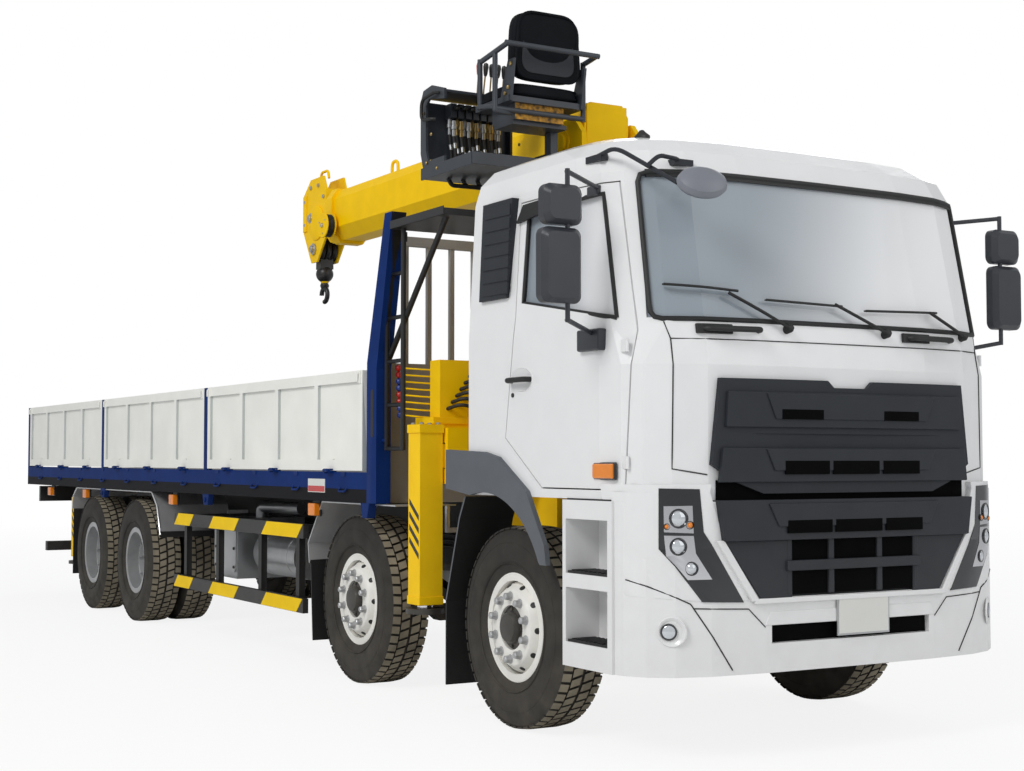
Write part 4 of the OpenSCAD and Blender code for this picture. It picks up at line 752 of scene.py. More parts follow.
def cab_sides():
    """Door glass, handles, indicators, mirrors, steps and louvres."""
    win = [(1.045, 2.13), (0.915, 2.755), (0.23, 2.75), (0.2, 2.27)]
    for s, n in SIDES:
        body = f"door_{n}"
        lean = lambda z: s * (1.206 - 0.03 * (z - 2.1) / 0.76)
        # glass, its rubber and the wind visor
        g = Mesh()
        big = [(1.052, 2.122), (0.922, 2.764), (0.224, 2.759), (0.192, 2.262)]
        v = [(A1 + x, lean(z) - s * inset, z) for inset in (0.012, 0.018) for x, z in big]
        v = [(x, math.copysign(min(abs(y), cab_y(x, z) - 0.01 - (0.006 if i > 3 else 0)), y), z)
             for i, (x, y, z) in enumerate(v)]
        g.add(v, PRISM)
        g.make(f"door_glass_{n}", [DOORGLASS], 0, "screen_glass", body=body)
        r = Mesh()
        loop = []
        for (a, b) in zip(win, win[1:] + win[:1]):
            for i in range(10):
                x, z = a[0] + (b[0] - a[0]) * i / 10, a[1] + (b[1] - a[1]) * i / 10
                loop.append((A1 + x, s * min(abs(lean(z)), cab_y(A1 + x, z)), z))
        r.tube(loop + loop[:1], 0.012, 0, 8)
        vis = [(0.15, 2.7), (0.6, 2.742), (0.6, 2.8), (0.22, 2.79)]
        vv = [(A1 + x, s * (min(1.186, cab_y(A1 + x, z)) + o), z) for o in (0.03, 0.012) for x, z in vis]
        r.add(vv, PRISM)
        r.make(f"window_rubber_{n}", [GASKET], 0, "trim_grey", body=body)
        # handle with its shallow cup, and the lock
        h = Mesh()
        at = axis_matrix((A1 + 0.215, s * 1.2195, 1.865), (0, s, 0)) @ Matrix.Diagonal((1.0, 0.55, 1.0, 1.0))
        h.turn([(0.115, 0.0), (0.112, 0.006), (0.098, 0.002)], at, 1, 32)
        h.pipe([(A1 + 0.12, s * 1.212, 1.862), (A1 + 0.125, s * 1.262, 1.862),
                (A1 + 0.305, s * 1.262, 1.862), (A1 + 0.31, s * 1.212, 1.862)], 0.02, 0.0145)
        h.turn([(0.012, -0.002), (0.012, 0.005), (0.004, 0.005)],
               axis_matrix((A1 + 0.125, s * 1.22, 1.785), (0, s, 0)), 0, 14)
        h.make(f"door_handle_{n}", [GASKET, WHITE], 0, "trim_grey", body=body)
        # side indicator
        q = Mesh()
        yy = cab_y(A1 + 0.99, 1.39)
        q.box((A1 + 0.905, s * (yy - 0.01), 1.352), (A1 + 1.075, s * (yy + 0.022), 1.424), 0)
        q.box((A1 + 0.895, s * (yy - 0.01), 1.344), (A1 + 1.085, s * (yy + 0.008), 1.432), 1)
        q.make(f"indicator_{n}", [AMBER, BEZEL], 0.008, "lamp_lens", body=body)
        # mirror faces, the arms' brackets and elbows
        mx = A1 + 1.045
        f = Mesh()
        for y0, y1, z0, z1 in ((1.406, 1.6, 2.2, 2.528), (1.402, 1.586, 2.575, 2.735)):
            ym = (y0 + y1) / 2
            ring = bend([(ym, z0, 0), (y0, z0, 0), (y0, z1, 0), (y1, z1, 0), (y1, z0, 0), (ym, z0, 0)],
                        0.045, 6)
            f.sheet([(s * q.x, q.y) for q in ring[:-1]], "x", mx - 0.0425, mx - 0.0375)
        f.make(f"mirror_faces_{n}", [MIRROR], 0.001, "trim_grey", body=body)
        k = Mesh()
        k.box((mx - 0.255, s * 1.195, 1.975), (mx - 0.06, s * 1.25, 2.082))
        k.box((mx - 0.245, s * 1.13, 2.75), (mx - 0.15, s * 1.195, 2.802))
        for z in (2.107, 2.82):
            k.turn([(0.0005, -0.0132), (0.009, -0.009), (0.0132, 0.0), (0.009, 0.009), (0.0005, 0.0132)],
                   Matrix.Translation((mx, s * 1.462, z)), 0, 14)
        k.make(f"mirror_brackets_{n}", [SHADE], 0.012, "trim_grey", body=body)
        # steps
        t = Mesh()
        for z in (0.54, 0.88):
            t.box((A1 + 0.665, s * 1.06, z), (A1 + 1.028, s * 1.222, z + 0.012))
            for i in range(9):
                t.box((A1 + 0.69 + i * 0.037, s * 1.075, z + 0.012),
                      (A1 + 0.705 + i * 0.037, s * 1.215, z + 0.018))
        t.box((A1 + 0.665, s * 1.1, 1.244), (A1 + 1.05, s * 1.226, 1.252))
        t.make(f"step_treads_{n}", [GASKET], 0.002, "trim_grey")
        # louvre slats
        l = Mesh()
        for i in range(7):
            z0 = 2.335 + i * 0.07
            xs = -0.178 + i * 0.005
            l.sheet([(A1 + xs, z0), (A1 + xs + 0.27, z0 - 0.004), (A1 + xs + 0.274, z0 + 0.056),
                     (A1 + xs + 0.004, z0 + 0.06)], "y", s * 1.228, s * 1.2395)
        l.make(f"louvre_slats_{n}", [PLASTIC], 0.003, "trim_grey")


cab_front()
cab_sides()

# Tyres and wheels

def tyre(me, at):
    """A tyre with a block tread: two inner rows and two shoulder rows."""
    half = [(0.254, 0.106), (0.2905, 0.108)]
    for i in range(13):
        t = i / 12
        half.append((0.2905 + t * (TR - 0.038 - 0.2865),
                     0.097 + 0.0495 * math.sin(math.radians(20 + t * 125))))
    half += [(TR - 0.0175, 0.1175), (TR - 0.013, 0.098), (TR - 0.0125, 0.03)]
    prof = half + [(r, -h) for r, h in reversed(half)]
    me.turn(prof + [prof[0]], at, 0, 64, cap=False)
    for rr, hh in ((0.345, 0.1425), (0.455, 0.142)):
        for s in (-1, 1):
            me.turn([(rr - 0.006, s * (hh - 0.006)), (rr, s * (hh + 0.0015)),
                     (rr + 0.006, s * (hh - 0.006))], at, 0, 64, cap=False)
    rows = [(-0.0985, 0.05, 0.0, 0.1), (-0.0365, 0.056, 0.5, -0.5), (0.0365, 0.056, 0.0, -0.5),
            (0.0985, 0.05, 0.5, 0.1)]
    half_block = math.pi / BLOCKS
    for h0, w, shift, slant in rows:
        for i in range(BLOCKS):
            c = 2 * math.pi * (i + shift) / BLOCKS
            v = []
            for top in (0, 1):
                for (a, b) in ((-1, -1), (1, -1), (1, 1), (-1, 1)):
                    hh = h0 + b * w / 2
                    t = c + half_block * (a * (0.8 - 0.06 * top) + slant * b * 0.55)
                    edge = abs(hh) > 0.11
                    r = (TR - 0.016 if not top else (TR - 0.0065 if edge else TR - 0.0004))
                    v.append((r * math.cos(t), r * math.sin(t), hh))
            me.add(v, [(4, 5, 6, 7)], 1, at)
            me.add(v, [(3, 2, 1, 0), (0, 1, 5, 4), (1, 2, 6, 5), (2, 3, 7, 6), (3, 0, 4, 7)], 0, at)


def on_circle(at, r, turn, h=0.0):
    """A frame moved out to a circle about Z."""
    return at @ Matrix.Translation((r * math.cos(turn), r * math.sin(turn), h))


def wheels():
    """Treaded tyres, dishes, nuts and hubs."""
    for i, x in ((1, A1), (2, A2), (3, A3), (4, A4)):
        for s, n in SIDES:
            m = Mesh()
            for y in (FRONT_Y,) if i < 3 else TWINS:
                tyre(m, axis_matrix((x, s * y, TR), (0, s, 0)))
            o = m.make(f"tread_tyre_{i}_{n}", [RUBBER, TREAD], 0, "tyre_black", 40, body=f"wheel_{i}_{n}")
            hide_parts(f"tyre_{i}_{n}")
            w = Mesh()
            if i < 3:
                at = axis_matrix((x, s * FRONT_Y, TR), (0, s, 0))
                w.turn([(0.243, 0.08), (0.241, 0.086), (0.208, 0.132), (0.203, 0.138), (0.196, 0.141),
                        (0.124, 0.141), (0.119, 0.138), (0.119, 0.09)], at, 0, 64, cap=False)
                on_cone = axis_matrix((0.225, 0, 0.1086), (0.813, 0, 0.583))
                for j in range(NUT_COUNT):
                    t = 2 * math.pi * (j + 0.5) / NUT_COUNT
                    nut = on_circle(at, NUTS, t, 0.04)
                    w.turn([(0.026, 0.096), (0.026, 0.104), (0.022, 0.106)], nut, 2, 18)
                    w.turn([(0.0215, 0.106), (0.0215, 0.13), (0.019, 0.136), (0.016, 0.1395),
                            (0.008, 0.1405)], nut, 2, 6)
                    hole = at @ Matrix.Rotation(t - math.pi / NUT_COUNT, 4, "Z") @ on_cone
                    w.turn([(0.0165, -0.004), (0.0165, 0.0012), (0.015, 0.0018), (0.002, 0.0018)], hole, 3,
                           20)
                w.turn([(0.118, 0.09), (0.118, 0.12), (0.104, 0.128), (0.088, 0.13), (0.084, 0.15),
                        (0.074, 0.166), (0.05, 0.172), (0.002, 0.174)], at, 1, 36)
                for j in range(8):
                    t = 2 * math.pi * j / 8
                    w.turn([(0.009, 0.126), (0.009, 0.137), (0.005, 0.138)], on_circle(at, 0.1, t), 1, 6)
                w.turn([(0.2865, 0.104), (0.291, 0.112), (0.2865, 0.1165), (0.28, 0.114)], at, 0, 48,
                       cap=False)
                w.make(f"hub_nuts_{i}_{n}", [WHEELC, HUB, WHEELS, GASKET], 0, "wheel_cream",
                       body=f"wheel_{i}_{n}")
            else:
                at = axis_matrix((x, s * REAR_Y, TR), (0, s, 0))
                for j in range(NUT_COUNT):
                    nut = on_circle(at, NUTS, 2 * math.pi * (j + 0.5) / NUT_COUNT)
                    w.turn([(0.022, 0.01), (0.022, 0.046), (0.016, 0.05)], nut, 0, 6)
                w.turn([(0.105, 0.01), (0.105, 0.06), (0.095, 0.075), (0.08, 0.09), (0.05, 0.094),
                        (0.002, 0.095)], at, 1, 32)
                w.turn([(0.2865, 0.269), (0.291, 0.277), (0.2865, 0.2815), (0.28, 0.279)], at, 0, 48,
                       cap=False)
                w.make(f"hub_nuts_{i}_{n}", [WHEELS, HUB], 0, "wheel_silver", body=f"wheel_{i}_{n}")
    m = Mesh()
    tyre(m, Matrix.Translation((*SPARE, 0.595)) @ Matrix.Diagonal((1.012, 1.012, 1.0, 1.0)))
    m.make("spare_tread", [RUBBER, TREAD], 0, "spare_tyre", 40)


wheels()


# Bed, guards, tanks and rear end

def slanted(me, x0, w, z0, z1, y0, y1, slope=1.1):
    """A band whose ends lean."""
    d = (z1 - z0) * slope
    me.sheet([(x0, z0), (x0 + w, z0), (x0 + w + d, z1), (x0 + d, z1)], "y", y0, y1)


def stripes(me, x, z0, y0, y1):
    """Four slanted stripes one above the other on a leg."""
    for k in range(4):
        z = z0 + k * 0.075
        me.sheet([(x - 0.06, z + 0.095), (x + 0.06, z), (x + 0.06, z + 0.032), (x - 0.06, z + 0.127)], "y",
                 y0, y1)


def carrier_details():
    """Markings and fittings of the bed, the legs, the tanks and the rear end."""
    for s, n in SIDES:
        # bands on the side guards
        b = Mesh()
        for z in (0.39, 0.9):
            for x0, w in ((-0.93, 0.38), (-0.09, 0.56), (1.03, 0.66)):
                slanted(b, x0, w, z + 0.002, z + 0.098, s * 1.2085, s * 1.2125)
        b.make(f"guard_bands_{n}", [YELLOW2], 0, "chassis_black")
        # stripes of the front legs
        leg_x = A1 - 0.97 if s < 0 else A1 - 1.15
        st = Mesh()
        stripes(st, leg_x, 0.86, s * 1.2495, s * 1.2515)
        st.make(f"leg_stripes_{n}", [STRIPE], 0, "crane_yellow", body=f"outrigger_{n}")
        # leg head with its bolts and foot collar
        c = Mesh()
        c.box((leg_x - 0.082, s * 1.093, 1.6), (leg_x + 0.082, s * 1.257, 1.65), 0)
        c.box((leg_x - 0.08, s * 1.095, 0.592), (leg_x + 0.08, s * 1.255, 0.64), 0)
        for dx in (-0.055, 0.055):
            for dy in (1.12, 1.23):
                c.bolt(Matrix.Translation((leg_x + dx, s * dy, 1.65)), 0.014, 0.01, (0.01, 0.013), 1)
        c.make(f"leg_collars_{n}", [YELLOW, TANK], 0.004, "crane_yellow", body=f"outrigger_{n}")
        # rear legs
        r = Mesh()
        stripes(r, A1 - 8.68, 0.6, s * 1.1895, s * 1.1915)
        r.make(f"rear_leg_stripes_{n}", [STRIPE], 0, "crane_yellow")
        # side markers, a blank reflector plate and rope hooks along the sill
        mk = Mesh()
        for x in (2.0, -0.95, -3.6, -4.95):
            mk.box((x - 0.055, s * 1.195, 1.065), (x + 0.055, s * 1.24, 1.15), 0)
            mk.box((x - 0.06, s * 1.18, 1.06), (x + 0.06, s * 1.2, 1.172), 1)
        mk.make(f"side_markers_{n}", [AMBER, BLACKP], 0.008, "lamp_lens")
        rp = Mesh()
        rp.box((1.98, s * 1.2495, 1.225), (2.26, s * 1.2525, 1.315), 0)
        rp.box((1.985, s * 1.252, 1.23), (2.255, s * 1.2535, 1.268), 1)
        rp.make(f"reflector_plate_{n}", [PLATE, RED], 0)
        hk = Mesh()
        for j in range(11):
            x = 2.55 - j * 0.78
            hk.pipe([(x - 0.05, s * 1.245, 1.265), (x - 0.05, s * 1.264, 1.238),
                     (x + 0.05, s * 1.264, 1.238), (x + 0.05, s * 1.245, 1.265)], 0.015, 0.007, 0, 8)
            hk.box((x - 0.03, s * 1.249, 1.335), (x + 0.03, s * 1.256, 1.362), 0)
        hk.make(f"rope_hooks_{n}", [NAVY], 0, "bed_navy")
        # stake feet below the sill
        sf = Mesh()
        for x in (-0.072, -2.932):
            sf.sheet([(x - 0.075, 1.175), (x + 0.075, 1.175), (x + 0.045, 1.085), (x - 0.045, 1.085)],
                     "y", s * 1.2, s * 1.248)
            sf.turn([(0.02, 0), (0.02, 0.01), (0.01, 0.016)], axis_matrix((x, s * 1.248, 1.125), (0, s, 0)),
                    0, 16)
        sf.sheet([(2.8, 1.175), (2.93, 1.175), (2.9, 1.075), (2.83, 1.075)], "y", s * 1.19, s * 1.248)
        sf.make(f"stake_feet_{n}", [NAVY], 0.006, "bed_navy")
        # latches of the boards, at the stakes and the posts
        for bi, x in ((1, -0.015), (2, -0.13), (2, -2.875), (3, -2.99), (1, 2.815), (3, -5.74)):
            lt = Mesh()
            d = 0.025 if x in (-0.015, -2.875, -5.74) else -0.025
            lt.box((x + d - 0.02, s * 1.2495, 1.925), (x + d + 0.02, s * 1.258, 2.003), 0)
            lt.pipe([(x + d, s * 1.257, 1.992), (x + d, s * 1.268, 1.984), (x + d, s * 1.268, 1.935)], 0.01,
                    0.006, 0, 8)
            lt.make(f"board_latch_{bi}_{n}_{int(abs(x) * 1000)}", [CREAM], 0.002, "board_cream",
                    body=f"board_{bi}_{n}")
        # rear lamps: red, amber and clear lenses
        tl = Mesh()
        lx = TAIL - 0.03
        for k, (y0, y1) in enumerate(((0.86, 0.95), (0.955, 1.045), (1.05, 1.12))):
            tl.box((lx - 0.01, s * y0, 1.018), (lx + 0.002, s * y1, 1.122), k)
        tl.make(f"tail_lenses_{n}", [RED, AMBER, LENS], 0.006, "lamp_lens")
        # ribs and hangers of the rear mudguards
        rb = Mesh()
        for k in range(9):
            x = A4 - 0.42 + k * 0.285
            rb.box((x - 0.01, s * 0.61, 1.1635), (x + 0.01, s * 1.238, 1.167), 0)
        rb.tube([(A3 + 0.565, s * 1.236, 1.158), (A3 + 0.705, s * 1.236, 1.045),
                 (A3 + 0.803, s * 1.236, 0.8)], 0.008, 0, 8)
        rb.tube([(A4 - 0.478, s * 1.236, 1.158), (A4 - 0.603, s * 1.236, 1.078),
                 (A4 - 0.632, s * 1.236, 0.95)], 0.008, 0, 8)
        rb.make(f"guard_ribs_{n}", [STEEL], 0, "guard_steel")
        fl = Mesh()
        fl.sheet([(A4 - 0.64, 0.3), (A4 - 0.632, 0.3), (A4 - 0.622, 0.975), (A4 - 0.63, 0.975)],
                 "y", s * 0.62, s * 1.225)
        fl.sheet([(A3 + 0.795, 0.78), (A3 + 0.803, 0.78), (A3 + 0.803, 0.83), (A3 + 0.795, 0.83)],
                 "y", s * 0.6, s * 1.24)
        fl.make(f"rear_flaps_{n}", [GASKET], 0, "guard_steel")
    # tank straps, filler caps and the silencer's lid
    t = Mesh()
    for x in (A1 - 4.1, A1 - 3.62):
        t.turn([(0.1705, -0.02), (0.1735, -0.018), (0.1735, 0.018), (0.1705, 0.02)],
               axis_matrix((x, -0.8, 0.72), (1, 0, 0)), 0, 40, cap=False)
    for x in (A1 - 4.35, A1 - 3.5):
        t.box((x - 0.025, 0.48, 0.437), (x + 0.025, 1.103, 0.44), 0)
        t.box((x - 0.025, 1.099, 0.437), (x + 0.025, 1.104, 0.994), 0)
        t.box((x - 0.025, 0.48, 0.989), (x + 0.025, 1.103, 0.994), 0)
    t.turn([(0.055, 0), (0.055, 0.03), (0.045, 0.04), (0.002, 0.042)],
           axis_matrix((A1 - 3.95, 1.04, 0.985), (0, 0, 1)), 1, 28)
    t.sheet([(A1 - 4.86, 0.56), (A1 - 4.44, 0.56), (A1 - 4.41, 0.6), (A1 - 4.41, 0.89), (A1 - 4.44, 0.93),
             (A1 - 4.86, 0.93), (A1 - 4.89, 0.89), (A1 - 4.89, 0.6)], "y", -1.05, -1.062, 0)
    for dx in (-0.2, 0.2):
        for z in (0.6, 0.745, 0.89):
            t.bolt(axis_matrix((A1 - 4.65 + dx, -1.062, z), (0, -1, 0)), 0.013, 0.008, (0.008, 0.01), 1)
    t.pipe([(A1 - 4.65, -0.75, 0.97), (A1 - 4.65, -0.75, 1.06), (A1 - 4.2, -0.6, 1.06)], 0.06, 0.05, 0, 14)
    t.make("tank_fittings", [TANK, HUB], 0.004, "tank_metal")
    # blank rear plate and reflectors
    p = Mesh()
    p.box((TAIL - 0.006, -0.26, 1.01), (TAIL, 0.26, 1.12), 0)
    p.make("rear_plate", [PLATE], 0.002)
    rr = Mesh()
    for y in (-1.03, 1.03):
        rr.box((A1 - 10.156, y - 0.05, 0.47), (A1 - 10.149, y + 0.05, 0.53), 0)
    rr.make("rear_reflectors", [RED], 0.003, "lamp_lens")
    # slots of the headboard posts as thin black sheets, painted shade for the open slots; chequer lugs on the
    # platform
    sl = Mesh()
    for s in (-1, 1):
        cx0, z0, z1 = 2.975, 1.6, 1.86
        pts = []
        for k in range(18):
            a = math.pi * (k - k // 9) / 8
            pts.append((cx0 + 0.02 * math.cos(a), (z0 if k > 8 else z1) + 0.02 * math.sin(a)))
        sl.sheet(pts, "y", s * 1.2495, s * 1.2508)
    sl.make("post_slots", [GASKET], 0, "headboard_grey")
    ch = Mesh()
    for i in range(16):
        for j in range(15):
            x, y = 3.255 + i * 0.043, -1.23 + j * 0.045
            dx, dy = (0.014, 0.005) if (i + j) % 2 else (0.005, 0.014)
            ch.add([(x - dx, y, 2.89), (x, y - dy, 2.89), (x + dx, y, 2.89), (x, y + dy, 2.89),
                    (x, y, 2.8935)], [(0, 1, 4), (1, 2, 4), (2, 3, 4), (3, 0, 4)])
    ch.sheet([(3.232, 2.852), (3.925, 2.852), (3.925, 2.9), (3.232, 2.9)], "y", -1.252, -1.257)
    ch.make("platform_chequer", [BLACKP], 0, "headboard_grey")
    # air lines along the frame
    al = Mesh()
    for s in (-1, 1):
        for k, z in enumerate((0.86, 0.9, 0.94)):
            al.tube([(A1 - 1.7 - k * 0.05, s * (0.436 + 0.004 * k), z), (0.3, s * 0.437, z),
                     (-1.0, s * 0.437, z + 0.02), (A4 + 0.2, s * 0.437, z + 0.02)], 0.01, 0, 8)
    al.make("air_lines", [GASKET], 0, "chassis_black")


carrier_details()

# Crane

def cushion(cx, cy, cz, sx, sy, sz, crown, n=14, power=5.0, crown_axis=2):
    """A stuffed block: a rounded box whose big face swells, as vertices and faces."""
    v, f = [], []
    idx = {}
    pts = []
    for i in range(n + 1):
        for j in range(n + 1):
            for side in range(6):
                a, b = 2 * i / n - 1, 2 * j / n - 1
                p = {0: (1, a, b), 1: (-1, b, a), 2: (b, 1, a), 3: (a, -1, b), 4: (a, b, 1),
                     5: (b, a, -1)}[side]
                pts.append((side, i, j, p))

    def place(p):
        key = tuple(round(c, 5) for c in p)
        if key in idx:
            return idx[key]
        k = (abs(p[0]) ** power + abs(p[1]) ** power + abs(p[2]) ** power) ** (1 / power)
        q = [c / k for c in p]
        o = [c for c in range(3) if c != crown_axis]
        swell = (1 - q[o[0]] ** 2) * (1 - q[o[1]] ** 2)
        q2 = [q[0] * sx / 2, q[1] * sy / 2, q[2] * sz / 2]
        rise = math.copysign(crown * max(0, swell), q[crown_axis])
        q2[crown_axis] += rise * min(1, abs(q[crown_axis]) * 1.5)
        idx[key] = len(v)
        v.append((cx + q2[0], cy + q2[1], cz + q2[2]))
        return idx[key]

    grid = {(s, i, j): place(p) for s, i, j, p in pts}
    for s in range(6):
        for i in range(n):
            for j in range(n):
                f.append((grid[(s, i, j)], grid[(s, i + 1, j)], grid[(s, i + 1, j + 1)], grid[(s, i, j + 1)]))
    return v, f


def ring_line(z, a, b, ca, cb, r, n=6):
    """A level rounded rectangle of points, for piping."""
    out = []
    for sx, sy, t0 in ((1, 1, 0), (-1, 1, 90), (-1, -1, 180), (1, -1, 270)):
        for k in range(n + 1):
            t = math.radians(t0 + 90 * k / n)
            out.append((ca + sx * (a - r) + r * math.cos(t), cb + sy * (b - r) + r * math.sin(t), z))
    return out + out[:1]


def seats():
    """The operator's seat and the two seats of the cab."""
    # operator's seat: squab, back and their piping
    m = Mesh()
    m.add(*cushion(3.728, -0.565, 3.638, 0.415, 0.475, 0.076, 0.014, 14, 7))
    lean = tipped((3.905, -0.56, 3.7), 4)
    m.add(*cushion(3.88, -0.56, 3.905, 0.1, 0.47, 0.405, 0.014, 14, 4.5, 0), 0, lean)
    for z in (3.615, 3.66):
        m.tube(ring_line(z, 0.203, 0.233, 3.728, -0.565, 0.05), 0.005, 0, 6)
    o = m.make("operator_cushions", [VINYL], 0, "seat_black", 50, body="column")
    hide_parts("seat")
    # hard shell behind the seat's back, with a raised rim
    outline = bend([(-0.56, 3.7, 0), (-0.795, 3.7, 0), (-0.765, 4.112, 0), (-0.355, 4.112, 0),
                    (-0.325, 3.7, 0), (-0.56, 3.7, 0)], 0.11, 8)
    shell = Mesh()
    shell.sheet([(q.x, q.y) for q in outline[:-1]], "x", 3.93, 3.944, 0)
    inner = [((q.x + 0.56) * 0.8 - 0.56, (q.y - 3.906) * 0.82 + 3.906) for q in outline[:-1]]
    shell.sheet(inner, "x", 3.944, 3.949, 1)
    rim = [(3.941, (q.x + 0.56) * 0.96 - 0.56, (q.y - 3.906) * 0.965 + 3.906) for q in outline]
    shell.tube(rim, 0.011, 0, 8)
    shell.make("seat_back_shell", [VINYL, SHELL], 0.003, "seat_black", body="column")
    # the driver's and the passenger's seat
    for s, n in SIDES:
        c = Mesh()
        y = s * 0.6
        c.add(*cushion(A1 + 0.275, y, 1.69, 0.53, 0.53, 0.165, 0.02, 12, 5))
        tilt = tipped((A1 + 0.075, y, 1.6), -5.6)
        c.add(*cushion(A1 + 0.075, y, 2.02, 0.15, 0.52, 0.86, 0.02, 12, 5, 0), 0, tilt)
        for zz in (1.64, 1.735):
            c.tube(ring_line(zz, 0.258, 0.258, A1 + 0.275, y, 0.07), 0.006, 0, 6)
        o = c.make(f"cab_cushions_{n}", [FABRIC], 0, "interior_grey", 50)


seats()


def crane_details():
    """Control box, levers, hoses, fittings of the boom and the hook."""
    # lips of the tray, and the handle and bolts on the control box's cheeks
    k = Mesh()
    k.box((3.075, -0.966, 3.2), (3.742, -0.954, 3.275), 0)
    k.box((3.732, -0.966, 3.2), (3.748, -0.24, 3.275), 0)
    for y, side in ((-0.962, -1), (-0.33, 1)):
        off = y + side * 0.028
        k.pipe([(3.315, y, 3.712), (3.3, off, 3.714), (3.13, off, 3.7), (3.125, off, 3.57),
                (3.255, off, 3.556), (3.272, y, 3.556)], 0.05, 0.011, 1, 10, 7)
        for x, z in ((3.215, 3.47), (3.15, 3.3), (3.29, 3.245), (3.105, 3.62)):
            k.bolt(axis_matrix((x, y, z), (0, side, 0)), 0.012, 0.006, (0.007, 0.01), 2)
    k.make("control_box_fittings", [STATION, GASKET, BRASS], 0.002, "station_black", body="column")
    # valve bodies with brass fittings and short hoses inside the box
    v = Mesh()
    for i in range(7):
        y = -0.79 + i * 0.054
        v.box((3.11, y - 0.021, 3.6), (3.19, y + 0.021, 3.69), 2)
        v.turn([(0.013, 0), (0.013, 0.022), (0.016, 0.024), (0.016, 0.052), (0.009, 0.058)],
               axis_matrix((3.19, y, 3.655), (1, 0, 0)), 4, 10)
        for dx, z in ((0.03, 3.6), (0.085, 3.58)):
            x = 3.1 + dx
            v.turn([(0.014, 0), (0.014, 0.03), (0.018, 0.032), (0.018, 0.055), (0.012, 0.058), (0.012, 0.1)],
                   axis_matrix((x, y, z), (0, 0, -1)), 1 if i % 2 else 3, 10)
            v.pipe([(x, y, z - 0.1), (x + 0.012, y + 0.004, 3.4), (x + 0.02, y + 0.012, 3.25)], 0.03,
                   0.0115, 0, 8)
            v.turn([(0.0125, 0), (0.0125, 0.035)],
                   axis_matrix((x + 0.01, y + 0.003, 3.435 - 0.02 * (i % 3)), (0.1, 0.05, -1)), 3, 10)
    v.make("valve_bank", [HOSE, BRASS, STATION, TANK, HUB], 0.002, "station_black", body="column")
    # control levers before the seat
    lv = Mesh()
    for i in range(6):
        y = -0.62 + i * 0.046
        top = (3.205 + 0.006 * (i % 2), y, 3.905)
        lv.tube([(3.18, y, 3.725), (3.188, y, 3.8), top], 0.0055, 2, 8)
        lv.turn([(0.008, 0.0), (0.013, 0.015), (0.018, 0.06), (0.014, 0.08), (0.002, 0.086)],
                axis_matrix((top[0] - 0.002, y, 3.885), (0.12, 0, 1)), 1 if i == 0 else 0, 14)
        lv.box((3.165, y - 0.014, 3.715), (3.205, y + 0.014, 3.745), 2)
    lv.make("seat_levers", [HUB, KRED, BRASS], 0, "station_black", body="column")
    # elbows of the hand rail
    r = Mesh()
    ball = [(0.0168 * math.sin(math.pi * t / 8), -0.0168 * math.cos(math.pi * t / 8)) for t in range(9)]
    ball[0], ball[-1] = (0.0005, -0.0168), (0.0005, 0.0168)
    for place in ((3.72, -0.9, 3.82), (4.05, -0.9, 3.865), (4.05, -0.282, 3.865), (3.9, -0.9, 3.51),
                  (3.72, -0.9, 3.55), (3.9, -0.282, 3.845)):
        r.turn(ball, Matrix.Translation(place), 0, 16)
    r.pipe([(3.9, -0.9, 3.52), (3.9, -0.9, 3.495), (3.9, -0.83, 3.49), (3.88, -0.78, 3.5)], 0.03, 0.0165)
    for y, side in ((-0.8165, -1), (-0.3035, 1)):
        for x, z in ((3.945, 3.775), (3.915, 3.64), (3.88, 3.61)):
            r.bolt(axis_matrix((x, y, z), (0, side, 0)), 0.013, 0.008, (0.008, 0.012), 1)
    r.make("seat_rail_elbows", [STATION, BRASS], 0, "station_black", body="column")
    # hoses from the box down to the column
    h = Mesh()
    for i in range(5):
        y = -0.82 + i * 0.09
        h.pipe([(3.17 + 0.025 * i, y, 3.21), (3.18 + 0.02 * i, y + 0.02, 3.168 - 0.002 * i),
                (3.34 + 0.02 * i, -0.46 + 0.03 * i, 3.145 - 0.01 * i), (3.42, -0.3, 3.05 - 0.02 * i),
                (3.5, -0.215, 2.98 - 0.03 * i)], 0.06, 0.014, 0, 8, 6)
    h.make("control_hoses", [HOSE], 0, "station_black", body="column")
    # slewing ring bolts and column pins
    b = Mesh()
    for i in range(24):
        t = 2 * math.pi * i / 24
        b.bolt(Matrix.Translation((CX + 0.312 * math.cos(t), 0.312 * math.sin(t), 1.7605)), 0.014, 0.012,
               (0.009, 0.015), 0)
    for s in (-1, 1):
        b.turn([(0.085, 0), (0.085, 0.012), (0.06, 0.014), (0.06, 0.03), (0.05, 0.034)],
               axis_matrix((3.585, s * 0.23, 3.42), (0, s, 0)), 1, 28)
    b.make("slew_bolts", [TANK, YELLOW], 0, "crane_yellow", body="column")
    # lifting hoop and welded strips along the boom
    w = Mesh()
    x = 0.79
    w.pipe([(x - 0.055, -0.02, 3.665), (x - 0.05, -0.02, 3.79), (x + 0.05, -0.02, 3.79),
            (x + 0.055, -0.02, 3.665)], 0.045, 0.013, 0, 10, 8)
    w.box((-0.15, -0.05, 3.668), (3.7, 0.05, 3.674), 0)
    w.box((3.6, -0.15, 3.3), (3.742, 0.15, 3.66), 0)
    for s in (-1, 1):
        w.box((2.2, s * 0.1645, 3.385), (3.7, s * 0.172, 3.56), 0)
    w.make("boom_fittings", [YELLOW], 0.003, "crane_yellow", body="boom_1")
